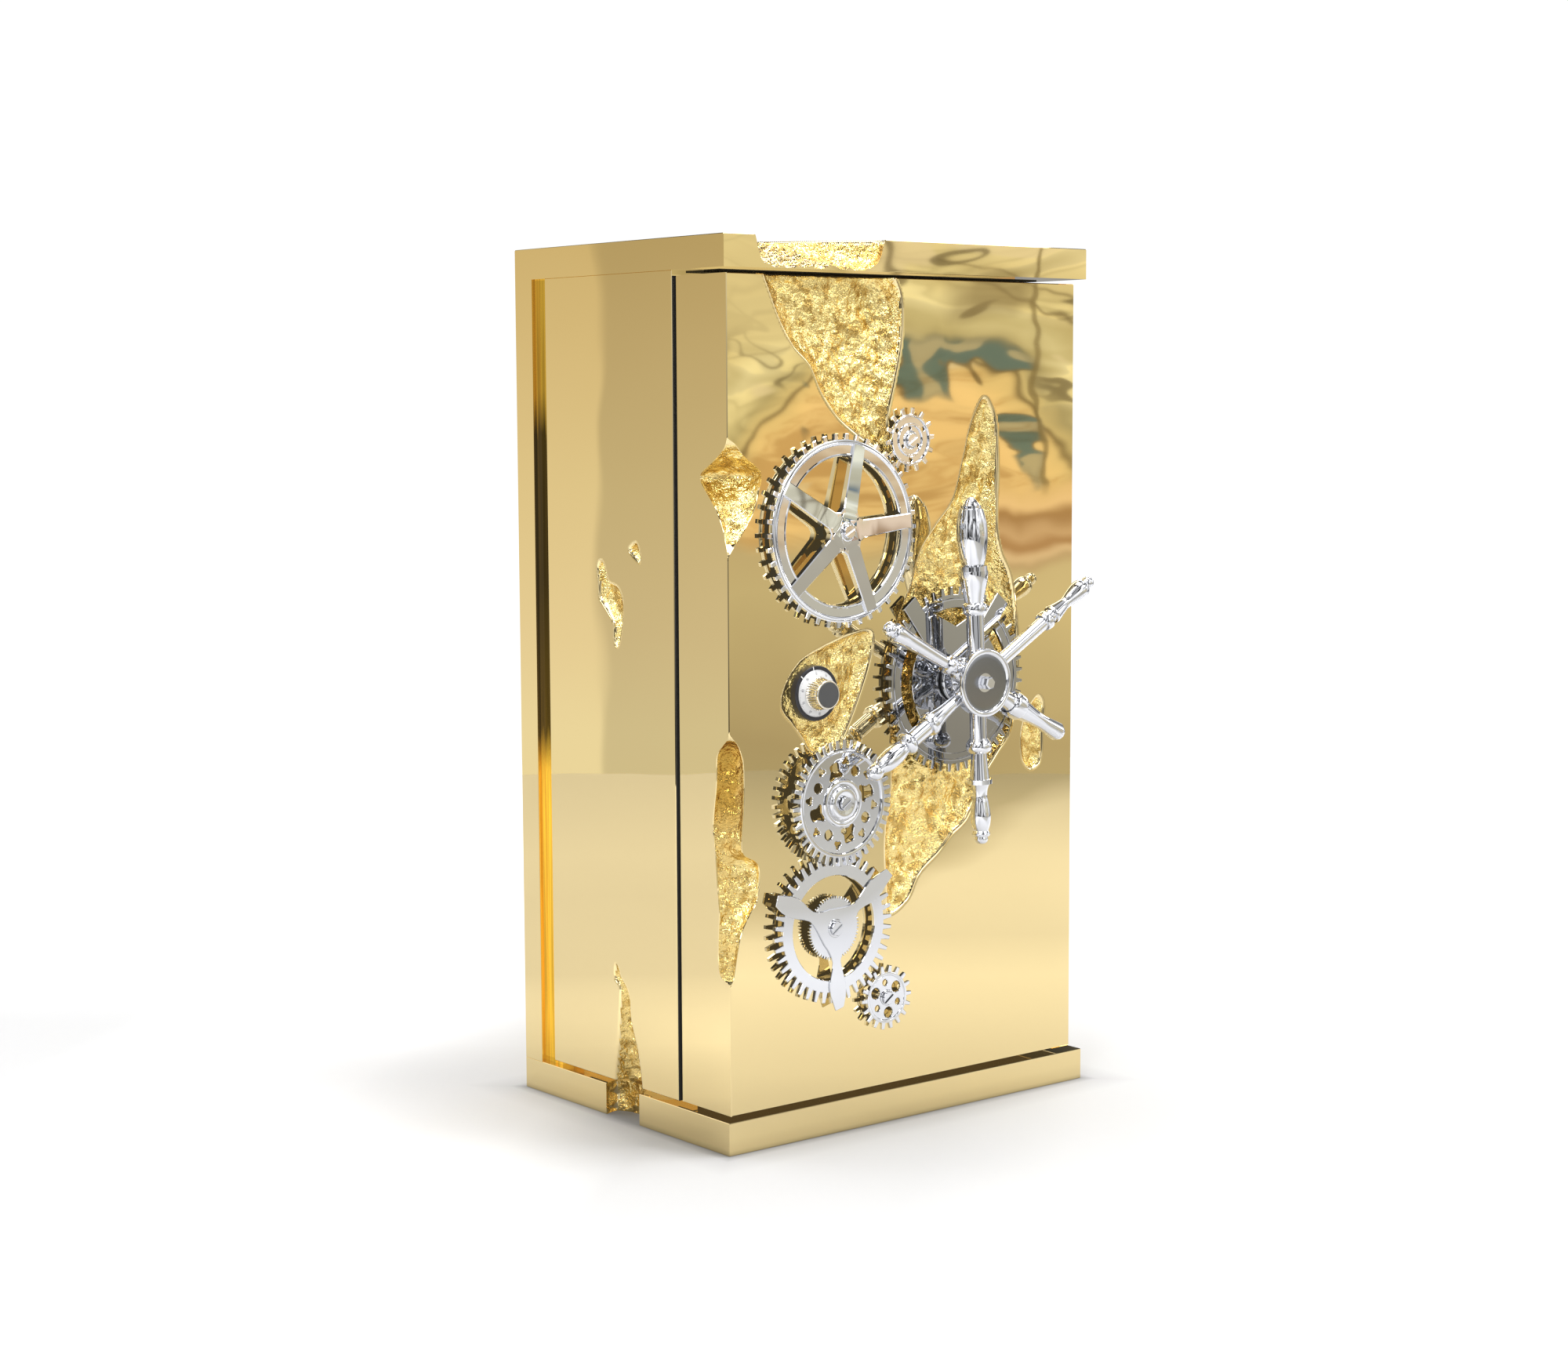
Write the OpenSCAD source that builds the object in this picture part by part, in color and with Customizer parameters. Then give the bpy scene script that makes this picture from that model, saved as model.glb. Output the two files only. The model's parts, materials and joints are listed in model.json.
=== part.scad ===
// Free-standing strong-box cabinet: thick hinged front door carrying a turned spoke
// wheel, a combination dial and loose ornamental gears, on a plinth under a slab cap.
// Millimetres. X runs across the front, Y runs from front to back, Z is up.

/* [Cabinet] */
// overall width of the cap and the plinth
body_w = 704; // [680:2:760]
// overall depth of the cap and the plinth
body_d = 520; // [500:2:600]
// overall height, floor to top of cap
body_h = 1300; // [1290:5:1400]
// thickness of the top cap
cap_t = 46; // [40:1:60]
// thickness of the plinth
plinth_t = 48; // [40:1:60]
// inset of the steel body behind the outer skins
skin_t = 35; // [35:1:38]
// wall thickness of the steel body
wall_t = 35; // [30:1:36]
// thickness of the lining inside the strong room
liner_t = 5; // [3:1:8]
// width of the vertical side groove, front to back
groove_w = 35; // [20:1:40]
// depth of the vertical side groove
groove_deep = 15; // [8:1:20]
// width of the corner posts, front to back
post_w = 45; // [40:1:60]

/* [Door] */
// thickness of the door slab
door_t = 116; // [112:1:118]
// gap between cap and door
gap_top = 8; // [6:1:12]
// gap between plinth and door
gap_bottom = 9.5; // [6:0.5:12]
// inset of the door at its left edge
door_left = 4; // [3:1:8]
// inset of the door at its right edge, room for the hinge barrels
door_right = 26; // [24:1:30]
// depth of the molten channels in the door face
channel_deep = 14; // [8:1:18]
// depth of the dial pocket
pocket_deep = 10; // [6:1:11]

/* [Hinges] */
// barrel radius
barrel_r = 10; // [8:0.5:11]
// hinge pin radius
pin_r = 4; // [3:0.5:5]
// height of one knuckle
knuckle_h = 30; // [20:1:40]

/* [Wheel] */
// distance of the spoke plane in front of the door
spoke_out = 62; // [60:1:70]
// hub radius
hub_r = 29; // [28:0.5:29.5]
// radius of the dished hub cap
cap_r = 50.5; // [40:0.5:55]
// shaft radius
shaft_r = 15; // [12:0.5:16]
// radius of the spoke tenons in the hub
tenon_r = 8; // [7:0.5:8]

/* [Bolt work] */
// radius of a locking bolt
bolt_r = 12; // [8:0.5:13]
// travel of the bolts
bolt_travel = 24; // [10:1:24]
// rack pitch; twelve pinion teeth give travel of three pitches in a quarter turn
rack_pitch = 8; // [8:0.5:8]

/* [Dial] */
// radius of the fixed index ring
ring_r = 40; // [36:0.5:44]
// radius of the numbered dial
dial_r = 34; // [30:0.5:35]
// radius of the dial spindle
spindle_r = 4; // [3:0.5:5]

/* [Hidden] */
$fn = 64;
fit = 0.06;
zb = plinth_t + gap_bottom;
zt = body_h - cap_t - gap_top;
cap_z = body_h - cap_t;
in_x0 = skin_t + wall_t;
in_x1 = body_w - skin_t - wall_t;
in_z0 = plinth_t + wall_t;
in_z1 = cap_z - wall_t;
body_y = 121;
back_y = body_d - 15;
room_y = back_y - 20;
post_y = body_d - post_w;
groove_y = post_y - groove_w;
hinge_x = body_w - 12;
hinge_y = 118.5;
hinge_z = [190, 640, 1090];
wheel = [420, 656];
dial = [159.3, 652.5];
case_x0 = 80;
case_x1 = 620;
case_z0 = 105;
case_z1 = 1200;
case_y1 = 170;
bolt_z = [220, 470, 830, 1080];
bolt_y = 143;
bar_y0 = 150;
bar_y1 = 162;
pitch_r = 12 * rack_pitch / (2 * PI);
// directions of the spokes, degrees from the right, seen from the front
spoke_turn = [93, 30.8, -27.8, -87.7, 210.5, 153];
// gear centres seen from the front
g1 = [202, 883.8];
g2 = [334, 1012.6];
g4 = [191, 493];
g5 = [184.3, 309.4];
g6 = [286.9, 191.9];

// ---- helpers -------------------------------------------------------------

// cabinet corner to the shared origin, middle of the footprint on the floor
module seat() {
  translate([-body_w / 2, -body_d / 2, 0]) children();
}

module box(a, b) {
  translate(a) cube(b - a);
}

// flat outline drawn in X and Z, filling y_front to y_back
module plate(y_back, y_front) {
  translate([0, y_back, 0]) rotate([90, 0, 0]) linear_extrude(y_back - y_front) children();
}

// round bar along Y
module rod(c, y_back, y_front, r) {
  translate([c[0], y_back, c[1]]) rotate([90, 0, 0]) cylinder(h = y_back - y_front, r = r);
}

// one point on a smooth curve through four neighbours
function curve(a, b, c, d, t) =
  0.5 * (2 * b + (c - a) * t + (2 * a - 5 * b + 4 * c - d) * t * t
  + (3 * b - a - 3 * c + d) * t * t * t);

// closed smooth outline through the given points
function smooth(p, n = 3) = [
  for (i = [0 : len(p) - 1]) for (k = [0 : n - 1])
    curve(p[(i + len(p) - 1) % len(p)], p[i], p[(i + 1) % len(p)], p[(i + 2) % len(p)], k / n)
];

// toothed outline: n straight-sided teeth on a root circle
function toothed(n, root, tip, w_root, w_tip, turn = 0) = [
  for (i = [0 : n - 1]) for (s = [[-1, 0], [-1, 1], [1, 1], [1, 0]])
    let (r = s[1] == 0 ? root : tip, w = s[1] == 0 ? w_root : w_tip)
    let (a = turn + i * 360 / n + s[0] * asin(w / 2 / r))
    [r * cos(a), r * sin(a)]
];

module gear_face(c, n, root, tip, w_root, w_tip, turn = 0) {
  translate(c) polygon(toothed(n, root, tip, w_root, w_tip, turn));
}

// ---- outlines of the molten channels, X and Z on the door face ------------

channel_a = [
  [66, 1262], [83, 1222], [101, 1184], [124, 1149], [155, 1121], [176, 1082],
  [207, 1046], [250, 1016], [282, 1000], [300, 985], [303, 1010], [299, 1045],
  [313, 1103], [325, 1158], [326, 1210], [316, 1238], [300, 1262]
];
channel_b = [
  [-14, 1014], [7, 1014], [25, 1001], [39, 984], [60, 973], [60, 950], [50, 920],
  [33, 892], [12, 864], [-14, 856]
];
channel_b_side = [
  [-14, 1014], [3, 1010], [27, 989], [53, 973], [67, 960], [50, 942], [24, 915],
  [11, 885], [-2, 857], [-14, 856]
];
channel_c = [
  [488, 1072], [465, 1033], [449, 979], [430, 922], [396, 885], [364, 846],
  [346, 796], [320, 750], [310, 690], [307, 590], [308, 500], [297, 440],
  [296, 390], [299, 345], [298, 318], [313, 316], [340, 335], [360, 368],
  [397, 395], [425, 420], [458, 444], [488, 500], [517, 535], [546, 570],
  [560, 640], [560, 720], [547, 798], [525, 840], [516, 885], [518, 960],
  [515, 1030], [504, 1062]
];
channel_d = [
  [262, 736], [225, 731], [172, 715], [132, 696], [108, 665], [101, 637],
  [121, 612], [139, 590], [155, 569], [182, 562], [205, 575], [226, 608],
  [247, 651], [264, 693], [270, 722]
];
channel_e = [
  [-14, 601], [6, 601], [22, 583], [29, 540], [27, 485], [23, 440], [32, 400],
  [40, 412], [55, 424], [56, 395], [50, 362], [32, 336], [18, 295], [11, 256],
  [-14, 248]
];
channel_e_side = [
  [-14, 602], [-2, 600], [16, 587], [29, 574], [31, 530], [39, 480], [34, 420],
  [27, 345], [29, 270], [17, 249], [-14, 247]
];
channel_f = [
  [608, 615], [617, 600], [615, 560], [612, 520], [600, 507], [586, 508],
  [574, 525], [572, 560], [583, 592], [597, 609]
];
// channels of the left side panel, Y and Z
channel_g = [
  [304, 837], [293, 827], [284, 806], [262, 799], [250, 784], [248, 765],
  [252, 738], [257, 719], [264, 711], [270, 722], [272, 747], [295, 771],
  [306, 782], [308, 805], [311, 825]
];
channel_g2 = [
  [214, 866], [207, 858], [203, 843], [206, 838], [222, 847], [231, 856], [222, 864]
];
channel_h = [
  [275, 236], [268, 229], [262, 216], [248, 203], [240, 185], [237, 155],
  [223, 117], [215, 82], [208, 40], [281, 40], [277, 75], [272, 105], [268, 150],
  [266, 199], [278, 213], [278, 228]
];
plinth_bite = [
  [-12, 303], [2, 306], [22, 309], [31, 297], [34, 272], [30, 248], [12, 224],
  [-12, 218]
];
cap_bite = [
  [57, -12], [58, 20], [72, 62], [105, 108], [140, 134], [168, 139], [228, 78],
  [293, 23], [296, 10], [290, -12]
];

// ---- cabinet ---------------------------------------------------------------

module plinth() {
  color("#e2c87a") seat() difference() {
    box([0, 0, 0], [body_w, body_d, plinth_t]);
    translate([0, 0, -1]) linear_extrude(plinth_t + 2) polygon(smooth(plinth_bite));
    for (x = [70, body_w - 70]) for (y = [60, body_d - 60])
      translate([x, y, -1]) cylinder(h = 7, r = 25);
  }
}

module floor_pads() {
  color("#202020") seat()
    for (x = [70, body_w - 70]) for (y = [60, body_d - 60])
      translate([x, y, 0]) cylinder(h = 6, r = 24.9);
}

module carcass() {
  color("#8d8f93") seat() difference() {
    box([skin_t, body_y, plinth_t], [body_w - skin_t, back_y, cap_z]);
    box([in_x0, body_y - 1, in_z0], [in_x1, room_y, in_z1]);
    for (z = bolt_z)
      translate([in_x0 - bolt_travel - 2, bolt_y, z]) rotate([0, 90, 0])
        cylinder(h = bolt_travel + 3, r = bolt_r + 2);
  }
}

module side_panel_left() {
  color("#e2c87a") seat() difference() {
    box([0, body_y, zb], [skin_t, groove_y, cap_z]);
    translate([-1, 0, 0]) rotate([90, 0, 90]) linear_extrude(11) polygon(smooth(channel_g));
    translate([-1, 0, 0]) rotate([90, 0, 90]) linear_extrude(8) polygon(smooth(channel_g2));
    translate([-1, 0, 0]) rotate([90, 0, 90]) linear_extrude(25) polygon(smooth(channel_h));
  }
}

module side_panel_right() {
  color("#e2c87a") seat()
    box([body_w - skin_t, 168, zb], [body_w, groove_y, cap_z]);
}

module corner_post(x0) {
  box([x0, post_y, plinth_t], [x0 + skin_t, body_d, cap_z]);
}

module post_left() {
  color("#e2c87a") seat() corner_post(0);
}

module post_right() {
  color("#e2c87a") seat() corner_post(body_w - skin_t);
}

// recessed strip between side panel and post, with a fine central rib
module inlay() {
  box([groove_deep, groove_y, plinth_t], [skin_t, post_y, cap_z]);
  box([groove_deep - 2, groove_y + 16, plinth_t], [groove_deep, groove_y + 19, cap_z]);
}

module inlay_left() {
  color("#d9a441") seat() inlay();
}

module inlay_right() {
  color("#d9a441") seat() translate([body_w, 0, 0]) mirror([1, 0, 0]) inlay();
}

module back_panel() {
  color("#e2c87a") seat() box([skin_t, back_y, plinth_t], [body_w - skin_t, body_d, cap_z]);
}

module cap() {
  color("#e2c87a") seat() difference() {
    box([0, 0, cap_z], [body_w, body_d, body_h]);
    intersection() {
      translate([0, 0, cap_z - 1]) linear_extrude(cap_t + 2) polygon(smooth(cap_bite));
      translate([-1, 20, cap_z - 1]) rotate([22, 0, 0]) translate([0, -60, 0])
        cube([body_w, 300, 200]);
    }
  }
}

module liner() {
  color("#5a1f2b") seat() difference() {
    box([in_x0, body_y + 60, in_z0], [in_x1, room_y, in_z1]);
    box([in_x0 + liner_t, body_y + 59, in_z0 + liner_t],
        [in_x1 - liner_t, room_y - liner_t, in_z1 - liner_t]);
    for (z = [470, 850]) for (x = [in_x0 - 1, in_x1 - liner_t - 1]) for (y = [220, 420])
      translate([x, y, z - 5]) rotate([0, 90, 0]) cylinder(h = liner_t + 2, r = 3.02);
  }
}

module shelf(z) {
  box([in_x0 + liner_t + 1, body_y + 70, z], [in_x1 - liner_t - 1, room_y - liner_t - 1, z + 12]);
}

module shelf_upper() {
  color("#6b4526") seat() shelf(850);
}

module shelf_lower() {
  color("#6b4526") seat() shelf(470);
}

module shelf_pins() {
  color("#c9a44c") seat()
    for (z = [470, 850]) for (y = [220, 420]) {
      translate([in_x0 + 0.5, y, z - 5]) rotate([0, 90, 0]) cylinder(h = 20, r = 3);
      translate([in_x1 - 20.5, y, z - 5]) rotate([0, 90, 0]) cylinder(h = 20, r = 3);
    }
}

// ---- hinges ----------------------------------------------------------------

module knuckle(z, arm0, arm1) {
  difference() {
    union() {
      translate([hinge_x, hinge_y, z]) cylinder(h = knuckle_h, r = barrel_r);
      box([arm0[0], arm0[1], z], [arm1[0], arm1[1], z + knuckle_h]);
    }
    translate([hinge_x, hinge_y, z - 1]) cylinder(h = knuckle_h + 2, r = pin_r + fit);
  }
}

module hinge_body_leaves() {
  color("#c9a44c") seat()
    for (z = hinge_z) for (k = [0, 2])
      knuckle(z + k * (knuckle_h + 0.5), [body_w - skin_t, hinge_y], [hinge_x, hinge_y + barrel_r]);
}

module hinge_pins() {
  color("#b9bcc2") seat()
    for (z = hinge_z) {
      translate([hinge_x, hinge_y, z]) cylinder(h = 3 * knuckle_h + 1, r = pin_r);
      translate([hinge_x, hinge_y, z + 3 * knuckle_h + 1]) cylinder(h = 4, r = barrel_r - 2);
    }
}

module hinge_door_leaves() {
  color("#c9a44c") seat()
    for (z = hinge_z)
      knuckle(z + knuckle_h + 0.5, [body_w - door_right, hinge_y - 18], [hinge_x, hinge_y]);
}

// ---- door ------------------------------------------------------------------

module stud_bores() {
  for (c = [g1, g2, g4, g5, g6]) rod(c, 30, -1, 6);
}

module door_slab() {
  color("#e2c87a") seat() difference() {
    box([door_left, 0, zb], [body_w - door_right, door_t, zt]);
    plate(channel_deep + 2, -1) polygon(smooth(channel_a));
    plate(channel_deep, -1) polygon(smooth(channel_b));
    plate(channel_deep, -1) polygon(smooth(channel_c));
    plate(pocket_deep, -1) polygon(smooth(channel_d));
    plate(channel_deep, -1) polygon(smooth(channel_e));
    plate(pocket_deep, -1) polygon(smooth(channel_f));
    translate([door_left - 1, 0, 0]) rotate([90, 0, 90])
      linear_extrude(channel_deep) polygon(smooth(channel_b_side));
    translate([door_left - 1, 0, 0]) rotate([90, 0, 90])
      linear_extrude(channel_deep) polygon(smooth(channel_e_side));
    rod(wheel, door_t + 1, -1, 22);
    rod(dial, door_t + 1, -1, 6);
    stud_bores();
  }
}

module bolt_case() {
  color("#9a9da2") seat() difference() {
    box([case_x0, door_t, case_z0], [case_x1, case_y1, case_z1]);
    box([case_x0 + 8, door_t - 1, case_z0 + 8], [case_x1 - 8, case_y1 + 1, case_z1 - 8]);
    for (z = bolt_z)
      translate([case_x0 - 1, bolt_y, z]) rotate([0, 90, 0]) cylinder(h = 10, r = bolt_r + fit);
  }
}

module bolt_cover() {
  color("#b9bcc2") seat() difference() {
    box([case_x0, case_y1, case_z0], [case_x1, case_y1 + 5, case_z1]);
    for (x = [case_x0 + 4, case_x1 - 4]) for (z = [case_z0 + 4, 400, 700, case_z1 - 4])
      rod([x, z], case_y1 + 6, case_y1 - 1, 2);
  }
}

module cover_screws() {
  color("#c9ccd1") seat()
    for (x = [case_x0 + 4, case_x1 - 4]) for (z = [case_z0 + 4, 400, 700, case_z1 - 4])
      difference() {
        union() {
          rod([x, z], case_y1 + 5, case_y1, 1.9);
          rod([x, z], case_y1 + 7, case_y1 + 5, 3.6);
        }
        box([x - 4, case_y1 + 6, z - 0.5], [x + 4, case_y1 + 8, z + 0.5]);
      }
}

// shoulder pins that carry the sliding bolt carriage
module guide_pins() {
  color("#c9ccd1") seat()
    for (z = [340, 970]) {
      rod([178, z], 164, door_t, 5);
      rod([178, z], 166, 163, 8);
    }
}

module lock_case() {
  color("#b08d3c") seat() difference() {
    box([117, door_t, 614], [202, 147, 691]);
    box([122, door_t - 1, 619], [197, 142, 686]);
  }
}

module dial_ring() {
  color("#17181b") seat() difference() {
    rod(dial, pocket_deep, -6, ring_r);
    rod(dial, pocket_deep + 1, -7, 6);
    rod(dial, 0, -7, dial_r + 1);
    for (a = [90, 118]) translate([dial[0], 0, dial[1]]) rotate([0, 90 - a, 0])
      box([-0.5, -7, dial_r + 1.5], [0.5, -5.4, ring_r + 1]);
  }
}

module shaft_bush() {
  color("#b08d3c") seat() difference() {
    union() {
      rod(wheel, door_t, channel_deep, 21.95);
      rod(wheel, channel_deep, channel_deep - 8, 34);
    }
    rod(wheel, door_t + 1, 0, shaft_r + fit);
  }
}

// ---- bolt work ---------------------------------------------------------------

module bolt_carriage() {
  color("#a9acb1") seat() difference() {
    union() {
      box([149, bar_y0, 200], [165, bar_y1, 1100]);
      for (z = bolt_z) box([149, bolt_y - bolt_r, z - 14], [165, bar_y0, z + 14]);
      for (z = [340, 970]) box([165, bar_y0, z - 14], [216, bar_y1, z + 14]);
      box([165, bar_y0, 622], [480, bar_y1, wheel[1] - pitch_r - 2.6]);
      for (i = [0 : 7])
        plate(bar_y1, bar_y0) polygon([
          for (p = [[-1.9, -3], [-1.2, 1.8], [1.2, 1.8], [1.9, -3]])
            [wheel[0] + (i - 2.5) * rack_pitch + p[0], wheel[1] - pitch_r + p[1]]
        ]);
    }
    for (z = [340, 970])
      plate(bar_y1 + 1, bar_y0 - 1) union() {
        translate([178, z]) circle(5.3);
        translate([178 + bolt_travel, z]) circle(5.3);
        translate([178, z - 5.3]) square([bolt_travel, 10.6]);
      }
  }
}

module locking_bolts() {
  color("#d5d8dc") seat()
    for (z = bolt_z)
      translate([case_x0 - 1, bolt_y, z]) rotate([0, 90, 0])
        cylinder(h = 149 - case_x0 + 1, r = bolt_r);
}

// ---- combination dial ----------------------------------------------------------

module dial_disc() {
  color("#cfd1d4") seat() difference() {
    union() {
      rod(dial, -3, -6.5, dial_r);
      translate([dial[0], -6.5, dial[1]]) rotate([90, 0, 0]) cylinder(h = 3, r1 = dial_r, r2 = 27);
    }
    rod(dial, 0, -12, spindle_r + 0.01);
    for (i = [0 : 49])
      translate([dial[0], 0, dial[1]]) rotate([0, i * 7.2, 0])
        box([-0.25, -8, dial_r - (i % 5 == 0 ? 3 : 1.8)], [0.25, -6.2, dial_r + 1]);
  }
}

module dial_knob() {
  color("#d6d3c9") seat() difference() {
    union() {
      translate([dial[0], -9.5, dial[1]]) rotate([90, 0, 0]) cylinder(h = 19, r1 = 24, r2 = 19.5);
      rod(dial, -28.5, -32, 20.8);
    }
    rod(dial, -9, -22, spindle_r + 0.01);
    rod(dial, -31, -33, 18.6);
    for (i = [0 : 29])
      translate([dial[0], 0, dial[1]]) rotate([0, i * 12, 0])
        translate([0, -8, 24.4]) rotate([103.3, 0, 0]) cylinder(h = 20, r = 1.1);
  }
}

module dial_cap() {
  color("#3c3e42") seat() rod(dial, -31, -32.4, 18.5);
}

module spindle() {
  color("#b08d3c") seat() rod(dial, 138, -22, spindle_r);
}

module drive_cam() {
  color("#c9a44c") seat() difference() {
    rod(dial, 134, 126, 22);
    rod(dial, 135, 125, spindle_r + 0.01);
    box([dial[0] - 4, 125, dial[1] + 15], [dial[0] + 4, 135, dial[1] + 23]);
  }
}

// ---- wheel -----------------------------------------------------------------------

module wheel_shaft() {
  color("#c9ccd1") seat() {
    rod(wheel, 118, -74.5, shaft_r);
    rod(wheel, 166, 118, 8);
  }
}

module drive_pinion() {
  color("#a9acb1") seat() difference() {
    plate(bar_y1, bar_y0)
      gear_face(wheel, 12, pitch_r - 3, pitch_r + 1.7, 3.8, 2.2, -90);
    rod(wheel, bar_y1 + 1, bar_y0 - 1, 8.02);
  }
}

// fan between two directions, drawn out to radius r
module fan(a0, a1, r) {
  polygon([[0, 0], for (k = [0 : 6]) r * [cos(a0 + (a1 - a0) * k / 6), sin(a0 + (a1 - a0) * k / 6)]]);
}

module gear_3() {
  color("#c9ccd1") seat() difference() {
    union() {
      plate(-8, -14.5) difference() {
        gear_face(wheel, 48, 127, 138.5, 7, 4.2, 3);
        translate(wheel) circle(107);
      }
      plate(-10, -17) translate(wheel) difference() {
        union() {
          circle(88);
          for (a = [51, 128]) rotate(a) translate([0, -14]) square([150.5, 28]);
          fan(218, 340, 111);
          fan(51, 128, 110);
        }
        polygon([[0, 80], [42, 108], [0, 125], [-42, 108]]);
      }
      plate(-14.5, -15.6) translate(wheel) difference() {
        circle(122);
        circle(119);
      }
    }
    rod(wheel, 0, -30, shaft_r + 0.02);
  }
}

module shaft_collar() {
  color("#c9ccd1") seat() difference() {
    union() {
      rod(wheel, -17, -21.2, 29.9);
      rod(wheel, -21.2, -27, 34);
      rod(wheel, -27, -48, 19);
    }
    rod(wheel, -16, -49, shaft_r + 0.02);
  }
}

module shaft_ring() {
  color("#141414") seat() translate([wheel[0], -19.1, wheel[1]]) rotate([90, 0, 0])
    rotate_extrude() translate([32, 0]) circle(r = 2.05, $fn = 32);
}

module wheel_hub() {
  color("#c9ccd1") seat() difference() {
    rod(wheel, -50, -75, hub_r);
    rod(wheel, -49, -76, shaft_r + 0.02);
    for (k = [0 : 5])
      spoke_at(k) translate([0, 0, 20]) cylinder(h = 30, r = tenon_r);
  }
}

module hub_cap() {
  color("#8f9196") seat() difference() {
    union() {
      rod(wheel, -75, -83, cap_r);
      plate(-79, -93) translate(wheel) rotate(10) circle(7, $fn = 6);
    }
    difference() {
      rod(wheel, -80.5, -84, cap_r - 8);
      plate(-79, -94) translate(wheel) rotate(10) circle(7, $fn = 6);
    }
  }
}

// spoke k points outwards from the shaft; s is measured from the shaft axis
module spoke_at(k) {
  translate([wheel[0], -spoke_out, wheel[1]]) rotate([0, 90 - spoke_turn[k], 0]) children();
}

module spoke(k, profile) {
  seat() spoke_at(k) {
    translate([0, 0, 20.2]) cylinder(h = 9.7, r = tenon_r - 0.02);
    rotate_extrude() polygon([
      [0, profile[0][0]], for (p = profile) [p[1], p[0]], [0, profile[len(profile) - 1][0]]
    ]);
  }
}

module spoke_1() {
  color("#d5d8dc") spoke(0, [
    [29.8, 12.4], [60, 12.6], [100, 13.4], [104, 15], [107, 18.4], [115, 18.4], [118, 14], [135, 17.8],
    [153, 22], [167, 22.4], [174, 20.7], [176, 16], [186, 19.5], [204, 22.7], [227, 23.4],
    [245, 21], [257, 17], [259, 15], [262, 13.5], [268, 8], [273, 2]
  ]);
}

module spoke_2() {
  color("#d5d8dc") spoke(1, [
    [29.8, 10], [166, 11], [168, 14.5], [173, 14.5], [176, 11.5], [186, 12.8], [202, 9.4],
    [210, 9.8], [225, 13.2], [240, 15], [252, 13.5], [260, 8], [262, 9], [267, 9], [273, 6],
    [276, 2]
  ]);
}

module spoke_3() {
  color("#d5d8dc") spoke(2, [
    [29.8, 12], [70, 13], [82, 15], [85, 20.5], [96, 20.5], [100, 17.5], [120, 14.5],
    [150, 13.2], [172, 15.2], [184, 16.5], [189, 15.5], [190, 12.5], [195, 11], [198, 5]
  ]);
}

module spoke_4() {
  color("#d5d8dc") spoke(3, [
    [29.8, 12.5], [78, 12.9], [90, 19.6], [97, 19.2], [103, 13], [141, 14.9], [145, 19.6],
    [151, 19.6], [155, 15.5], [169, 12.5], [180, 14], [200, 15.8], [214, 14.4], [225, 10],
    [227, 13], [233, 13.3], [239, 10.5], [243, 5], [244, 1]
  ]);
}

module spoke_5() {
  color("#d5d8dc") spoke(4, [
    [29.8, 8.6], [60, 9.6], [96, 13.5], [106, 17.5], [114, 18], [119, 12.5], [152, 12.5],
    [156, 17.5], [163, 18], [168, 12], [180, 14.8], [195, 15.4], [212, 13], [220, 9.5],
    [225, 11.8], [233, 12.2], [240, 8.5], [244, 2]
  ]);
}

module spoke_6() {
  color("#d5d8dc") spoke(5, [
    [29.8, 12.5], [62, 12.5], [64, 14.5], [72, 14.5], [75, 9.5], [110, 10.4], [150, 13],
    [174, 15], [184, 13.8], [187, 10.5], [190, 12.4], [196, 10.5], [202, 3]
  ]);
}

// ---- ornamental gears ----------------------------------------------------------------

module gear_1() {
  color("#c9ccd1") seat() difference() {
    union() {
      plate(-8, -15.4) difference() {
        gear_face(g1, 42, 127.5, 139.5, 9, 6, 1.17);
        translate(g1) circle(108);
      }
      plate(-15.4, -17.2) translate(g1) difference() {
        circle(131);
        circle(124);
      }
      for (k = [0 : 4])
        translate([g1[0], 0, g1[1]]) rotate([0, -5.5 - 72 * k, 0]) translate([0, 0, -11])
          linear_extrude(22) polygon([
            [10, -12], [121, -11], [121, -20], [24, -24], [10, -24]
          ]);
      rod(g1, -5.5, -24.5, 22);
      translate([g1[0], -24.5, g1[1]]) rotate([90, 0, 0]) cylinder(h = 2, r1 = 22, r2 = 14);
    }
    rod(g1, 0, -27, 6.08);
  }
}

module gear_2() {
  color("#c9ccd1") seat() difference() {
    union() {
      plate(-5.5, -12) gear_face(g2, 14, 37, 47, 7.5, 5.4, 5.46);
      rod(g2, -12, -13.2, 37.5);
    }
    rod(g2, -10.5, -14, 34.5);
    for (a = [32, 152, 272]) {
      rod([g2[0] + 19 * cos(a), g2[1] + 19 * sin(a)], 0, -20, 3.6);
      rod([g2[0] + 28.5 * cos(a), g2[1] + 28.5 * sin(a)], 0, -20, 2.8);
    }
    rod(g2, 0, -20, 6.08);
  }
}

module lobes(r, s) {
  circle(s);
  for (a = [90, 210, 330]) rotate(a) translate([r, 0]) circle(s * 0.62);
}

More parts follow.
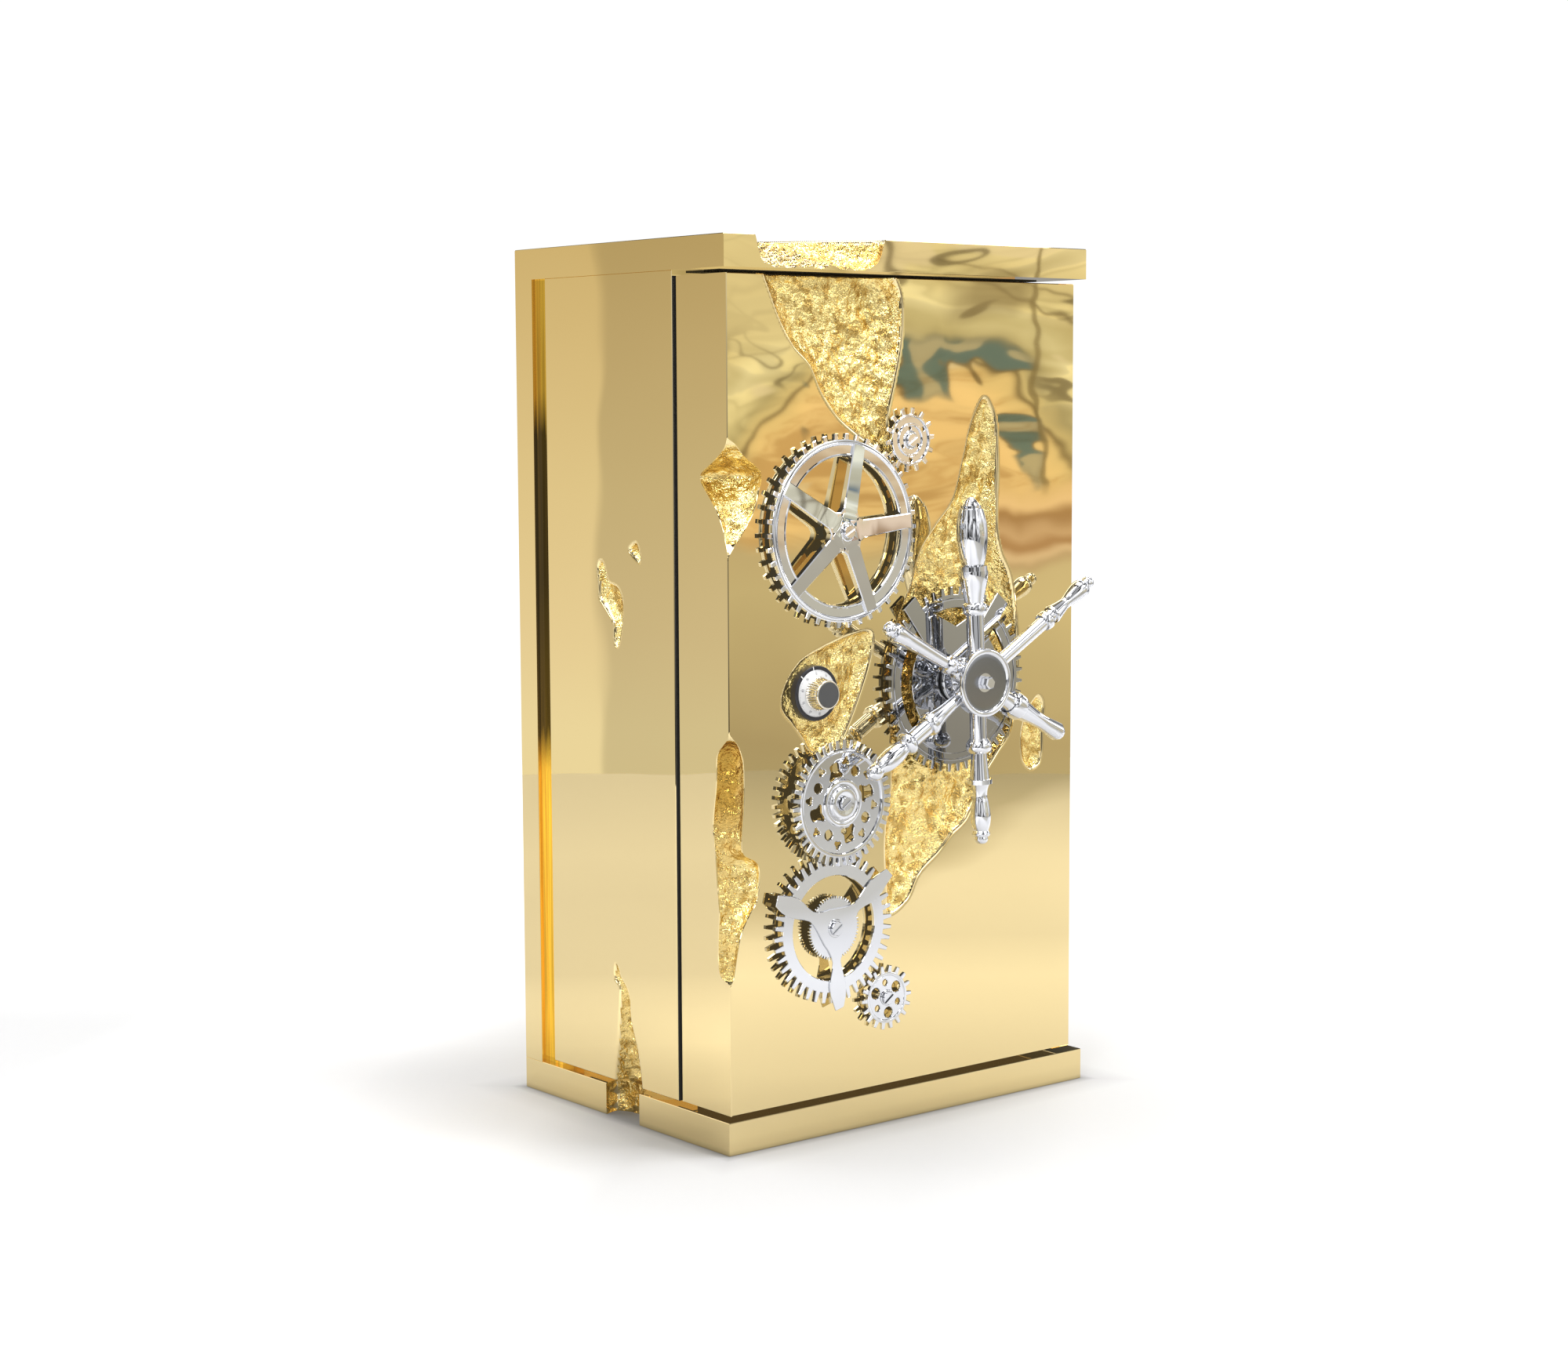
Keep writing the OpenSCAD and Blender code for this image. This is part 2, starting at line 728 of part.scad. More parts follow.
module gear_4() {
  color("#c9ccd1") seat() difference() {
    union() {
      plate(-17, -25.3) gear_face(g4, 42, 78, 92, 7.6, 5.2, 1.5);
      rod(g4, -25.3, -27, 79.5);
      rod(g4, -16.6, -28, 31);
      rod(g4, -28, -31, 21);
    }
    plate(-24, -28) translate(g4) difference() {
      circle(73);
      circle(31);
    }
    for (k = [0 : 3]) translate([g4[0], 0, g4[1]]) rotate([0, -14.5 - 90 * k, 0]) {
      rod([47, 0], -10, -30, 9);
      rod([43, 12], -10, -30, 5.6);
      rod([43, -12], -10, -30, 5.6);
      rod([60 * cos(21), -60 * sin(21)], -10, -30, k % 2 == 0 ? 7.6 : 6);
      rod([51 * cos(44), -51 * sin(44)], -10, -30, 7.8);
      rod([60 * cos(66), -60 * sin(66)], -10, -30, k % 2 == 0 ? 6 : 7.6);
    }
    rod(g4, 0, -32, 6.08);
  }
}

module gear_5() {
  color("#c9ccd1") seat() plate(-7, -13.4) difference() {
    gear_face(g5, 42, 95, 110.5, 8.4, 5.2, 2.56);
    translate(g5) circle(77);
  }
}

module propeller() {
  color("#cdd0d5") seat() difference() {
    union() {
      plate(-13.4, -16.2) translate(g5) {
        circle(32);
        for (b = [[33, 128], [153, 122], [273, 122]]) rotate(b[0])
          polygon([
            [10, -20], [34, -14], [50, -7.5], [70, -12.5], [86, -15], [104, -12.5],
            [b[1], -6], [b[1], 8.5], [104, 14.5], [86, 15.5], [66, 11], [50, 7.5],
            [34, 14], [10, 20]
          ]);
      }
      rod(g5, -16.2, -18, 13);
    }
    rod(g5, 0, -20, 6.08);
  }
}

module fine_gear() {
  color("#c9ccd1") seat() difference() {
    union() {
      plate(-9.5, -13.4) gear_face(g5, 60, 43.6, 47, 2.8, 1.6, 0);
      rod(g5, -5.9, -9.5, 16);
    }
    rod(g5, 0, -20, 6.08);
  }
}

module gear_6() {
  color("#c9ccd1") seat() difference() {
    union() {
      plate(-6.4, -12.2) gear_face(g6, 18, 38, 48, 7, 4.8, 1.13);
      rod(g6, -12.2, -12.9, 38.5);
      rod(g6, -5.9, -13.5, 12);
    }
    plate(-11.4, -13) translate(g6) difference() {
      circle(34.5);
      circle(12);
    }
    for (k = [0 : 5])
      rod([g6[0] + 23 * cos(38 + 60 * k), g6[1] + 23 * sin(38 + 60 * k)], 0, -20,
        k % 2 == 0 ? 8.4 : 5);
    rod(g6, 0, -20, 6.08);
  }
}

// stud: shank in the door, flange behind the gear, journal through the gear
module stud(c, flange, tip) {
  difference() {
    union() {
      rod(c, 30, -tip, 6);
      rod(c, 0, -flange, 10);
    }
    rod(c, 5 - tip + 12, -tip - 1, 3);
  }
}

module stud_1() {
  color("#c9ccd1") seat() stud(g1, 5.1, 26.9);
}

module stud_2() {
  color("#c9ccd1") seat() stud(g2, 5.1, 12.4);
}

module stud_4() {
  color("#c9ccd1") seat() stud(g4, 16.2, 31.4);
}

module stud_5() {
  color("#c9ccd1") seat() stud(g5, 5.5, 18.4);
}

module stud_6() {
  color("#c9ccd1") seat() stud(g6, 5.5, 13.9);
}

module stud_screws() {
  color("#d5d8dc") seat()
    for (s = [[g1, 26.9], [g2, 12.4], [g4, 31.4], [g5, 18.4], [g6, 13.9]])
      difference() {
        union() {
          rod(s[0], 12 - s[1], -s[1], 3);
          rod(s[0], -s[1], -s[1] - 3.5, 10);
        }
        translate([s[0][0], 0, s[0][1]]) rotate([0, -32, 0])
          box([-11, -s[1] - 5, -1], [11, -s[1] - 2, 1]);
      }
}

// ---- nodes -------------------------------------------------------------------------

plinth();
floor_pads();
carcass();
side_panel_left();
side_panel_right();
post_left();
post_right();
inlay_left();
inlay_right();
back_panel();
cap();
liner();
shelf_upper();
shelf_lower();
shelf_pins();
hinge_body_leaves();
hinge_pins();
door_slab();
hinge_door_leaves();
bolt_case();
bolt_cover();
cover_screws();
guide_pins();
lock_case();
dial_ring();
shaft_bush();
bolt_carriage();
locking_bolts();
dial_disc();
dial_knob();
dial_cap();
spindle();
drive_cam();
wheel_shaft();
drive_pinion();
gear_3();
shaft_collar();
shaft_ring();
wheel_hub();
hub_cap();
spoke_1();
spoke_2();
spoke_3();
spoke_4();
spoke_5();
spoke_6();
gear_1();
gear_2();
gear_4();
gear_5();
propeller();
fine_gear();
gear_6();
stud_1();
stud_2();
stud_4();
stud_5();
stud_6();
stud_screws();
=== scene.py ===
"""Looks of a free-standing strong-box cabinet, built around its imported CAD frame."""

import json
import math

import bpy
import numpy as np
from mathutils import Matrix, Vector
from mathutils.geometry import tessellate_polygon


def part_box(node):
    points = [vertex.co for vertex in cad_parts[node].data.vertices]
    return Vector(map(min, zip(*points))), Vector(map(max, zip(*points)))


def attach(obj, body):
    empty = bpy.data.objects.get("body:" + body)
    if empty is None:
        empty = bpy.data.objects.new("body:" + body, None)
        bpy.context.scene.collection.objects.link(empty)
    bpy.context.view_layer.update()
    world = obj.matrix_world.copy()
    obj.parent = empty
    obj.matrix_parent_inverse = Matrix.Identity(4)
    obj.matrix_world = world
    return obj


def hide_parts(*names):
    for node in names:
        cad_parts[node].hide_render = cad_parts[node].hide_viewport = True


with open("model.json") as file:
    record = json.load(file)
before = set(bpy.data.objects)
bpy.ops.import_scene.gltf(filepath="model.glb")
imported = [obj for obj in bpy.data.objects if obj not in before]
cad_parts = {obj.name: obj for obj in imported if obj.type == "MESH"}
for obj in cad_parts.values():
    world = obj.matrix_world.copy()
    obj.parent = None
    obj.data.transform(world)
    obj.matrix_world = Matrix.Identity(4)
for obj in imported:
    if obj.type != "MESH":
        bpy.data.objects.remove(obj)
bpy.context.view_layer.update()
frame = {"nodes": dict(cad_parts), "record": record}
scene = bpy.context.scene

# The cabinet is described in millimetres from its left front corner on the floor:
# x to the right, y to the back, z up.
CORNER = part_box("plinth")[0]


def metres(p):
    """Cabinet millimetres to the row frame."""
    return np.asarray(p, float) / 1000.0 + np.array([CORNER.x, CORNER.y, 0.0])


def middle(node):
    """Middle of a CAD node in cabinet millimetres, seen from the front: x, z."""
    lo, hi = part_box(node)
    return np.array([(lo.x + hi.x) / 2 - CORNER.x, (lo.z + hi.z) / 2]) * 1000.0


def span(node):
    """Lowest and highest corner of a CAD node in cabinet millimetres."""
    lo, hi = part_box(node)
    shift = Vector((CORNER.x, CORNER.y, 0))
    return np.array(lo - shift) * 1000.0, np.array(hi - shift) * 1000.0


# ---- smooth curves and noise ----


def smooth(points, n=6, closed=True):
    """A smooth line through the given points."""
    p = np.asarray(points, float)
    out = []
    count = len(p)
    for i in range(count if closed else count - 1):
        if closed:
            a, b, c, d = (p[(i + k) % count] for k in (-1, 0, 1, 2))
        else:
            a, b, c, d = (p[min(max(i + k, 0), count - 1)] for k in (-1, 0, 1, 2))
        for k in range(n):
            t = k / n
            bend, turn = 2 * a - 5 * b + 4 * c - d, 3 * b - a - 3 * c + d
            out.append(0.5 * (2 * b + (c - a) * t + bend * t * t + turn * t**3))
    if not closed:
        out.append(p[-1])
    return np.array(out)


def step(a, b, x):
    """0 below a, 1 above b, smooth between."""
    t = np.clip((x - a) / (b - a), 0, 1)
    return t * t * (3 - 2 * t)


def inside_by(points, outline, reach=14.0):
    """How far each point is inside the outline; negative outside."""
    pts = np.asarray(points, float)
    out = np.full(len(pts), -reach)
    lo, hi = outline.min(0) - reach, outline.max(0) + reach
    near = np.flatnonzero(((pts > lo) & (pts < hi)).all(1))
    a, b = outline, np.roll(outline, -1, 0)
    ab = b - a
    length2 = np.maximum((ab**2).sum(1), 1e-9)
    for chunk in np.array_split(near, max(1, len(near) // 20000 + 1)):
        p = pts[chunk][:, None, :]
        t = np.clip(((p - a) * ab).sum(2) / length2, 0, 1)
        d = np.sqrt((((a + t[..., None] * ab) - p) ** 2).sum(2).min(1))
        cross = (a[:, 1] > p[..., 1]) != (b[:, 1] > p[..., 1])
        dy = np.where(np.abs(ab[:, 1]) < 1e-12, 1e-12, ab[:, 1])
        hit = cross & (p[..., 0] < ab[:, 0] * (p[..., 1] - a[:, 1]) / dy + a[:, 0])
        out[chunk] = np.where(hit.sum(1) % 2 == 1, d, -d)
    return out


def scramble(cells, seed):
    """Repeatable pseudo-random numbers from 0 to 1 for whole-number cells."""
    h = np.zeros(cells.shape[:-1], np.uint32) + np.uint32(seed * 2654435 + 17)
    for k in range(cells.shape[-1]):
        h = (h ^ (cells[..., k].astype(np.int64) & 0xFFFFFFFF).astype(np.uint32)) * np.uint32(0x9E3779B1)
        h ^= h >> np.uint32(15)
    h = h * np.uint32(0x85EBCA6B)
    h ^= h >> np.uint32(13)
    return h.astype(float) / 4294967296.0


def swell(p, size, seed):
    """Smooth noise, about -1 to 1, with bumps about size across."""
    q = np.asarray(p, float) / size
    base = np.floor(q)
    f = q - base
    w = f * f * f * (f * (f * 6 - 15) + 10)
    dims = q.shape[1]
    total = np.zeros(len(q))
    for corner in np.ndindex(*(2,) * dims):
        c = np.array(corner)
        cell = (base + c).astype(np.int64)
        g = np.stack([scramble(cell, seed * 7 + k) * 2 - 1 for k in range(dims)], 1)
        weight = np.prod(np.where(c == 1, w, 1 - w), 1)
        total += weight * (g * (f - c)).sum(1)
    return total * 2.2


def dimples(p, size, seed):
    """Hammer marks: 0 in the middle of each mark, near 1 on the creases between."""
    q = np.asarray(p, float) / size
    base = np.floor(q)
    best = np.full(len(q), 9.0)
    for shift in np.ndindex(*(3,) * q.shape[1]):
        cell = (base + np.array(shift) - 1).astype(np.int64)
        spot = cell + np.stack([scramble(cell, seed * 5 + k) for k in range(q.shape[1])], 1)
        best = np.minimum(best, ((spot - q) ** 2).sum(1))
    return np.minimum(best, 1.2)


def molten(p, seed, rough=1.0):
    """Height of the molten, hammered surface in mm, roughly from -6 to 6."""
    warp = np.stack([swell(p, 26, seed + 20 + k) for k in range(np.shape(p)[1])], 1)
    q = np.asarray(p, float) + 5 * warp
    big = 3.6 * swell(q, 44, seed) + 2.8 * swell(q, 21, seed + 1)
    pits = 3.4 * (dimples(q, 10.5, seed + 2) - 0.35)
    fine = 2.4 * (dimples(q, 6.0, seed + 3) - 0.35)
    return rough * (big + pits + fine)


# ---- meshes ----


def piece(name, shape, material, body, nodes=(), sharp=28, lines=()):
    """One shown piece: a shape in cabinet millimetres, riding on a CAD body."""
    mesh = bpy.data.meshes.new(name)
    verts, faces = shape.all()
    mesh.from_pydata(metres(verts).tolist(), [], faces)
    mesh.validate()
    mesh.update()
    mesh.shade_smooth()
    if sharp is not None:
        mesh.set_sharp_from_angle(angle=math.radians(sharp))
    if len(lines):
        keys = np.empty(len(mesh.edges) * 2, np.int64)
        mesh.edges.foreach_get("vertices", keys)
        keys = np.sort(keys.reshape(-1, 2), 1)
        wanted = np.sort(np.asarray(lines, np.int64), 1)
        size = len(mesh.vertices)
        mark = np.isin(keys[:, 0] * size + keys[:, 1], wanted[:, 0] * size + wanted[:, 1])
        flags = np.zeros(len(mesh.edges), bool)
        layer = mesh.attributes.get("sharp_edge")
        if layer is None:
            layer = mesh.attributes.new("sharp_edge", "BOOLEAN", "EDGE")
        layer.data.foreach_get("value", flags)
        layer.data.foreach_set("value", flags | mark)
    mesh.materials.append(material)
    obj = bpy.data.objects.new(name, mesh)
    scene.collection.objects.link(obj)
    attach(obj, body)
    if nodes:
        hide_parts(*nodes)
    return obj


def grid_faces(rows, cols, first=0, flip=False, wrap=False):
    """Quads over a rows by cols grid of vertices."""
    last = cols if wrap else cols - 1
    r, c = np.meshgrid(np.arange(rows - 1), np.arange(last), indexing="ij")
    n = (c + 1) % cols
    quad = np.stack([r * cols + c, r * cols + n, (r + 1) * cols + n, (r + 1) * cols + c], -1)
    quad = quad.reshape(-1, 4) + first
    return quad[:, ::-1] if flip else quad


def ticks(*stops):
    """Grid lines from (start, spacing) pairs and an end: ticks((0, 2), (50, 10), 120)."""
    out = []
    for i, stop in enumerate(stops[:-1]):
        a, gap = stop
        b = stops[i + 1][0] if isinstance(stops[i + 1], tuple) else stops[i + 1]
        n = max(1, int(round((b - a) / gap)))
        out += [a + (b - a) * k / n for k in range(n)]
    return np.array(out + [stops[-1]], float)


class Shape:
    """Gathers vertices and faces of one piece."""

    def __init__(self):
        self.verts = []
        self.faces = []
        self.count = 0

    def add(self, verts, faces):
        first = self.count
        self.verts.append(np.asarray(verts, float).reshape(-1, 3))
        self.count += len(self.verts[-1])
        self.faces += [[i + first for i in f] for f in faces]
        return first

    def all(self):
        return np.concatenate(self.verts), [[int(i) for i in f] for f in self.faces]


def runs_left(p):
    """True where a flat loop of points keeps what it encloses on its left."""
    return (p[:, 0] * np.roll(p[:, 1], -1) - np.roll(p[:, 0], -1) * p[:, 1]).sum() > 0


def outward(loop):
    """Unit normals of a flat loop pointing away from what it encloses, mitred."""
    p = np.asarray(loop, float)
    e = np.roll(p, -1, 0) - p
    e /= np.maximum(np.linalg.norm(e, axis=1, keepdims=True), 1e-9)
    n = np.stack([e[:, 1], -e[:, 0]], 1)
    m = n + np.roll(n, 1, 0)
    m /= np.maximum((m * m).sum(1, keepdims=True) / 2, 0.35)
    return m if runs_left(p) else -m


def slab(shape, outer, holes, y_front, y_back, chamfer=0.7):
    """A flat plate drawn in x and z with chamfered edges, between two depths."""
    loops = [np.asarray(loop, float) for loop in (outer, *holes)]
    depths = (y_front, y_front + chamfer, y_back - chamfer, y_back)
    rings = []
    for i, loop in enumerate(loops):
        inner = loop - outward(loop) * (1 if i == 0 else -1) * chamfer
        rings.append(
            [np.insert(flat, 1, y, axis=1) for flat, y in zip((inner, loop, loop, inner), depths)]
        )
    levels = [np.concatenate(level) for level in zip(*rings)]
    front = levels[0]
    t = np.array(tessellate_polygon([[Vector((v[0], v[2], 0)) for v in r[0]] for r in rings]))
    a, b, c = (front[t[:, k]][:, [0, 2]] for k in range(3))
    turn = (b[:, 0] - a[:, 0]) * (c[:, 1] - a[:, 1]) - (b[:, 1] - a[:, 1]) * (c[:, 0] - a[:, 0])
    t = np.where(turn[:, None] > 0, t, t[:, ::-1])
    t = t[np.abs(turn) > 1e-9]
    n = len(front)
    offsets = np.cumsum([0] + [len(lo) for lo in loops])
    faces = t.tolist() + (t[:, ::-1] + 3 * n).tolist()
    for i, loop in enumerate(loops):
        k = np.arange(len(loop))
        nxt = (k + 1) % len(loop)
        flip = runs_left(loop) == (i == 0)
        for level in range(3):
            lo, hi = offsets[i] + level * n, offsets[i] + (level + 1) * n
            quad = np.stack([lo + k, hi + k, hi + nxt, lo + nxt], 1)
            faces += (quad if flip else quad[:, ::-1]).tolist()
    shape.add(np.concatenate(levels), faces)


def turned(shape, profile, origin, axis, segments=64):
    """A turned solid: profile of (distance along axis, radius) from a closed end to another."""
    prof = np.asarray(profile, float)
    axis = np.asarray(axis, float) / np.linalg.norm(axis)
    side = np.cross(axis, [0.0, 1.0, 0.0] if abs(axis[1]) < 0.9 else [1.0, 0.0, 0.0])
    side /= np.linalg.norm(side)
    other = np.cross(axis, side)
    a = np.arange(segments) * 2 * math.pi / segments
    ring = np.cos(a)[:, None] * side + np.sin(a)[:, None] * other
    rows = [np.asarray(origin, float) + axis * s + ring * r for s, r in prof]
    first = shape.add(np.concatenate(rows), grid_faces(len(prof), segments, wrap=True))
    last = first + (len(prof) - 1) * segments
    shape.faces.append(list(range(first, first + segments))[::-1])
    shape.faces.append(list(range(last, last + segments)))


def circle(c, r, n=96, turn=0.0):
    """Points on a circle, counted round from an angle."""
    a = np.arange(n) * 2 * math.pi / n + math.radians(turn)
    return np.column_stack([c[0] + r * np.cos(a), c[1] + r * np.sin(a)])


# ---- node trees ----


class Graph:
    """Short ways to add nodes to a node tree."""

    def __init__(self, tree):
        self.tree = tree

    def new(self, kind):
        return self.tree.nodes.new("ShaderNode" + kind)

    def where(self, space="Object"):
        return self.new("TexCoord").outputs[space]

    def put(self, socket, value):
        if isinstance(value, bpy.types.NodeSocket):
            self.tree.links.new(value, socket)
        elif isinstance(value, tuple) and len(value) == 3 and socket.type == "RGBA":
            socket.default_value = (*value, 1)
        else:
            socket.default_value = value

    def math(self, operation, a, b=0.0):
        n = self.new("Math")
        n.operation = operation
        self.put(n.inputs[0], a)
        self.put(n.inputs[1], b)
        return n.outputs[0]

    def add(self, a, b):
        return self.math("ADD", a, b)

    def sub(self, a, b):
        return self.math("SUBTRACT", a, b)

    def mul(self, a, b):
        return self.math("MULTIPLY", a, b)

    def div(self, a, b):
        return self.math("DIVIDE", a, b)

    def top(self, a, b):
        return self.math("MAXIMUM", a, b)

    def off(self, a, middle):
        """Distance of a value from a middle one."""
        return self.math("ABSOLUTE", self.sub(a, middle))

    def stirred(self, a, where, scale, detail, amount):
        """A value moved up and down a little by noise."""
        return self.add(a, self.mul(self.sub(self.noise(where, scale, detail), 0.5), amount))

    def oval(self, u, v, middle, size):
        """Distance from a middle, in oval sizes."""
        across = self.div(self.sub(u, middle[0]), size[0])
        up = self.div(self.sub(v, middle[1]), size[1])
        return self.math("SQRT", self.add(self.mul(across, across), self.mul(up, up)))

    def dot(self, a, b):
        n = self.new("VectorMath")
        n.operation = "DOT_PRODUCT"
        self.put(n.inputs[0], a)
        self.put(n.inputs[1], b)
        return n.outputs["Value"]

    def noise(self, where, scale, detail=2.0, distortion=0.0):
        n = self.new("TexNoise")
        self.put(n.inputs["Vector"], where)
        n.inputs["Scale"].default_value = scale
        n.inputs["Detail"].default_value = detail
        n.inputs["Distortion"].default_value = distortion
        return n.outputs["Fac"]

    def ramp(self, value, stops, low=0.0, high=1.0):
        """Colours along a value that runs from low to high; stops are (value, colour)."""
        n = self.new("ValToRGB")
        spots = n.color_ramp.elements
        spots.remove(spots[1])
        for k, (at, tone) in enumerate(stops):
            place = (at - low) / (high - low)
            stop = spots.new(place) if k else spots[0]
            stop.position = place
            stop.color = (*tone, 1) if isinstance(tone, tuple) else (tone, tone, tone, 1)
        self.put(n.inputs["Fac"], self.div(self.sub(value, low), high - low))
        return n.outputs["Color"]

    def mix(self, share, a, b, kind="MIX"):
        n = self.new("Mix")
        n.data_type = "RGBA"
        n.blend_type = kind
        self.put(n.inputs["Factor"], share)
        self.put(n.inputs[6], a)
        self.put(n.inputs[7], b)
        return n.outputs[2]

    def times(self, a, b):
        """Two colours or vectors multiplied."""
        return self.mix(1.0, a, b, "MULTIPLY")


# ---- finishes ----


def principled(name, color, roughness):
    """A new material, its graph and its shader's inputs."""
    mat = bpy.data.materials.new(name)
    mat.use_nodes = True
    inputs = mat.node_tree.nodes["Principled BSDF"].inputs
    inputs["Base Color"].default_value = (*color, 1)
    inputs["Roughness"].default_value = roughness
    return mat, Graph(mat.node_tree), inputs


def finish(name, color, metallic=1.0, roughness=0.08, bump=(), vary=0.0, glow=0.0):
    """A node-built finish. bump is a list of (bumps per metre, depth in metres).

    glow is a painted glow in the finish's own colour, standing for light bounced between polished faces; it
    keeps the narrow gaps between them from going black.
    """
    mat, g, inputs = principled(name, color, roughness)
    inputs["Metallic"].default_value = metallic
    inputs["Emission Color"].default_value = (*color, 1)
    inputs["Emission Strength"].default_value = glow
    where = g.where()
    if vary:
        spread = g.new("MapRange")
        spread.inputs["To Min"].default_value = max(0.0, roughness - vary)
        spread.inputs["To Max"].default_value = roughness + vary
        g.put(spread.inputs["Value"], g.noise(where, 9.0, 4.0))
        g.put(inputs["Roughness"], spread.outputs["Result"])
    normal = None
    for per_metre, depth in bump:
        bumps = g.new("Bump")
        bumps.inputs["Strength"].default_value = 1.0
        bumps.inputs["Distance"].default_value = depth
        g.put(bumps.inputs["Height"], g.noise(where, per_metre))
        if normal:
            g.put(bumps.inputs["Normal"], normal)
        normal = bumps.outputs["Normal"]
    if normal:
        g.put(inputs["Normal"], normal)
    return mat


UP = (0.0, 0.0, 1.0)


def browned(mat):
    """Molten metal is browner along the door's left edge, in small clouds and in the lid."""
    g = Graph(mat.node_tree)
    spot = g.where()
    height = g.dot(spot, UP)
    edge = g.ramp(g.dot(spot, (1.0, 0.0, 0.0)), [(-0.325, 1.0), (-0.312, 0.0)], -0.4, 0.4)
    high = g.ramp(height, [(0.30, 0.35), (0.44, 0.45), (0.50, 1.0), (0.66, 1.0), (0.72, 0.0)], 0.0, 1.3)
    cloud = g.ramp(g.noise(spot, 60.0, 3.0), [(0.49, 0.0), (0.60, 0.75)])
    lid = g.ramp(height, [(1.253, 0.0), (1.256, 0.72)], 0.0, 1.3)
    share = g.top(g.top(g.mul(edge, high), cloud), lid)
    shader = mat.node_tree.nodes["Principled BSDF"]
    g.put(shader.inputs["Base Color"], g.mix(share, (0.90, 0.71, 0.29), (0.46, 0.27, 0.05)))
    return mat


def painted_strip_reflection(mat):
    """Painted reflection and glow in the narrow strips: upright streaks, bright at the foot and the head,
    brown between; the same colour also glows at half strength.
    """
    g = Graph(mat.node_tree)
    place = g.where()
    tall = g.noise(g.times(place, (30.0, 160.0, 3.0)), 1.0, 2.0, 0.3)
    height = g.add(g.dot(place, UP), g.mul(g.sub(tall, 0.5), 0.10))
    share = g.ramp(
        height,
        [(0.0, 0.80), (0.50, 0.95), (0.56, 0.10), (0.80, 0.03), (1.02, 0.05), (1.08, 0.50), (1.25, 0.66)],
        0.0, 1.3,
    )
    share = g.times(share, g.ramp(tall, [(0.36, 0.70), (0.60, 1.10)]))
    # painted reflection by height, used both as base colour and as glow
    tone = g.times(share, (0.84, 0.54, 0.07))
    shader = mat.node_tree.nodes["Principled BSDF"]
    g.put(shader.inputs["Base Color"], tone)
    g.put(shader.inputs["Emission Color"], tone)
    shader.inputs["Emission Strength"].default_value = 0.50
    return mat


# GOLD, MOLTEN and CHROME carry a faint painted glow (their last number, or glow=) for light bounced in
# narrow gaps.
GOLD = finish("polished_gold", (0.785, 0.632, 0.330), 1.0, 0.018, [(2.2, 0.0012)], 0.008, 0.025)
MOLTEN = browned(
    finish("molten_gold", (0.90, 0.70, 0.28), 1.0, 0.03, [(95.0, 0.0032), (260.0, 0.0017)], 0.015, 0.015)
)
# finish of the inlay strips, with painted reflection and painted glow
STRIP_PAINTED_GLOW = painted_strip_reflection(finish("strip_gold_painted_reflection", (0.86, 0.50, 0.06), roughness=0.10))
DEEP_GOLD = finish("deep_gold", (0.90, 0.62, 0.20), roughness=0.06, vary=0.02)
BRONZE = finish("turned_bronze", (0.60, 0.42, 0.17), roughness=0.22, vary=0.05)
CHROME = finish("polished_chrome", (0.69, 0.70, 0.73), roughness=0.02, vary=0.01, glow=0.02)
DARK_CHROME = finish("dark_chrome", (0.41, 0.415, 0.43), roughness=0.03, vary=0.01)
WARM_CHROME = finish("warm_chrome", (0.80, 0.77, 0.70), roughness=0.10, vary=0.02)
SATIN = finish("satin_silver", (0.66, 0.66, 0.66), 0.35, 0.42, vary=0.04)
BRUSHED = finish("brushed_steel", (0.55, 0.56, 0.58), 1.0, 0.3, [(400.0, 0.00005)], 0.05)
GREY = finish("grey_enamel", (0.22, 0.225, 0.235), 0.0, 0.35, vary=0.05)
BLACK = finish("black_enamel", (0.018, 0.018, 0.024), 0.0, 0.30, vary=0.04)
DARK_CAP = finish("dark_cap", (0.055, 0.056, 0.058), 0.0, 0.38, vary=0.05)
DISH = finish("dish_grey", (0.24, 0.245, 0.255), roughness=0.22, vary=0.03)
WHITE = finish("white_paint", (0.85, 0.85, 0.84), 0.0, 0.4, vary=0.03)
INK = finish("number_ink", (0.13, 0.13, 0.15), 0.0, 0.5, vary=0.03)
# black rubber for the feet, also used for the strips of painted shade in the door gaps
BLACK_RUBBER_AND_GAP_SHADE = finish("black_rubber_and_gap_shade", (0.012, 0.012, 0.012), 0.0, 0.6, vary=0.05)
LINING = finish("lining_cloth", (0.10, 0.012, 0.022), 0.0, 0.95, [(900.0, 0.0003)], 0.04)
WOOD = finish("walnut", (0.16, 0.075, 0.035), 0.0, 0.38, [(60.0, 0.0002)], 0.08)

LOOKS = {
    "polished_gold": GOLD,
    "deep_gold": DEEP_GOLD,
    "bronze": BRONZE,
    "chrome": CHROME,
    "warm_chrome": WARM_CHROME,
    "hub_grey": DARK_CHROME,
    "satin": SATIN,
    "brushed": BRUSHED,
    "grey_steel": GREY,
    "black_enamel": BLACK,
    "dark_cap": DARK_CAP,
    "lining": LINING,
    "shelf_wood": WOOD,
    "rubber_pad": BLACK_RUBBER_AND_GAP_SHADE,
}
for part in frame["record"]["subparts"]:
    name, slot = part["node"], part["material_slot"]
    node = frame["nodes"][name]
    node.data.materials.clear()
    # the inlay strips get the painted reflection and glow
    node.data.materials.append(STRIP_PAINTED_GLOW if name.startswith("inlay") else LOOKS[slot])

# ---- sizes taken from the CAD ----

PLINTH = span("plinth")
CAP = span("cap")
DOOR = span("door_slab")
PANEL = span("side_panel_left")
WHEEL = middle("hub_cap")
DIAL = middle("dial_ring")

# ---- outlines of the molten channels ----

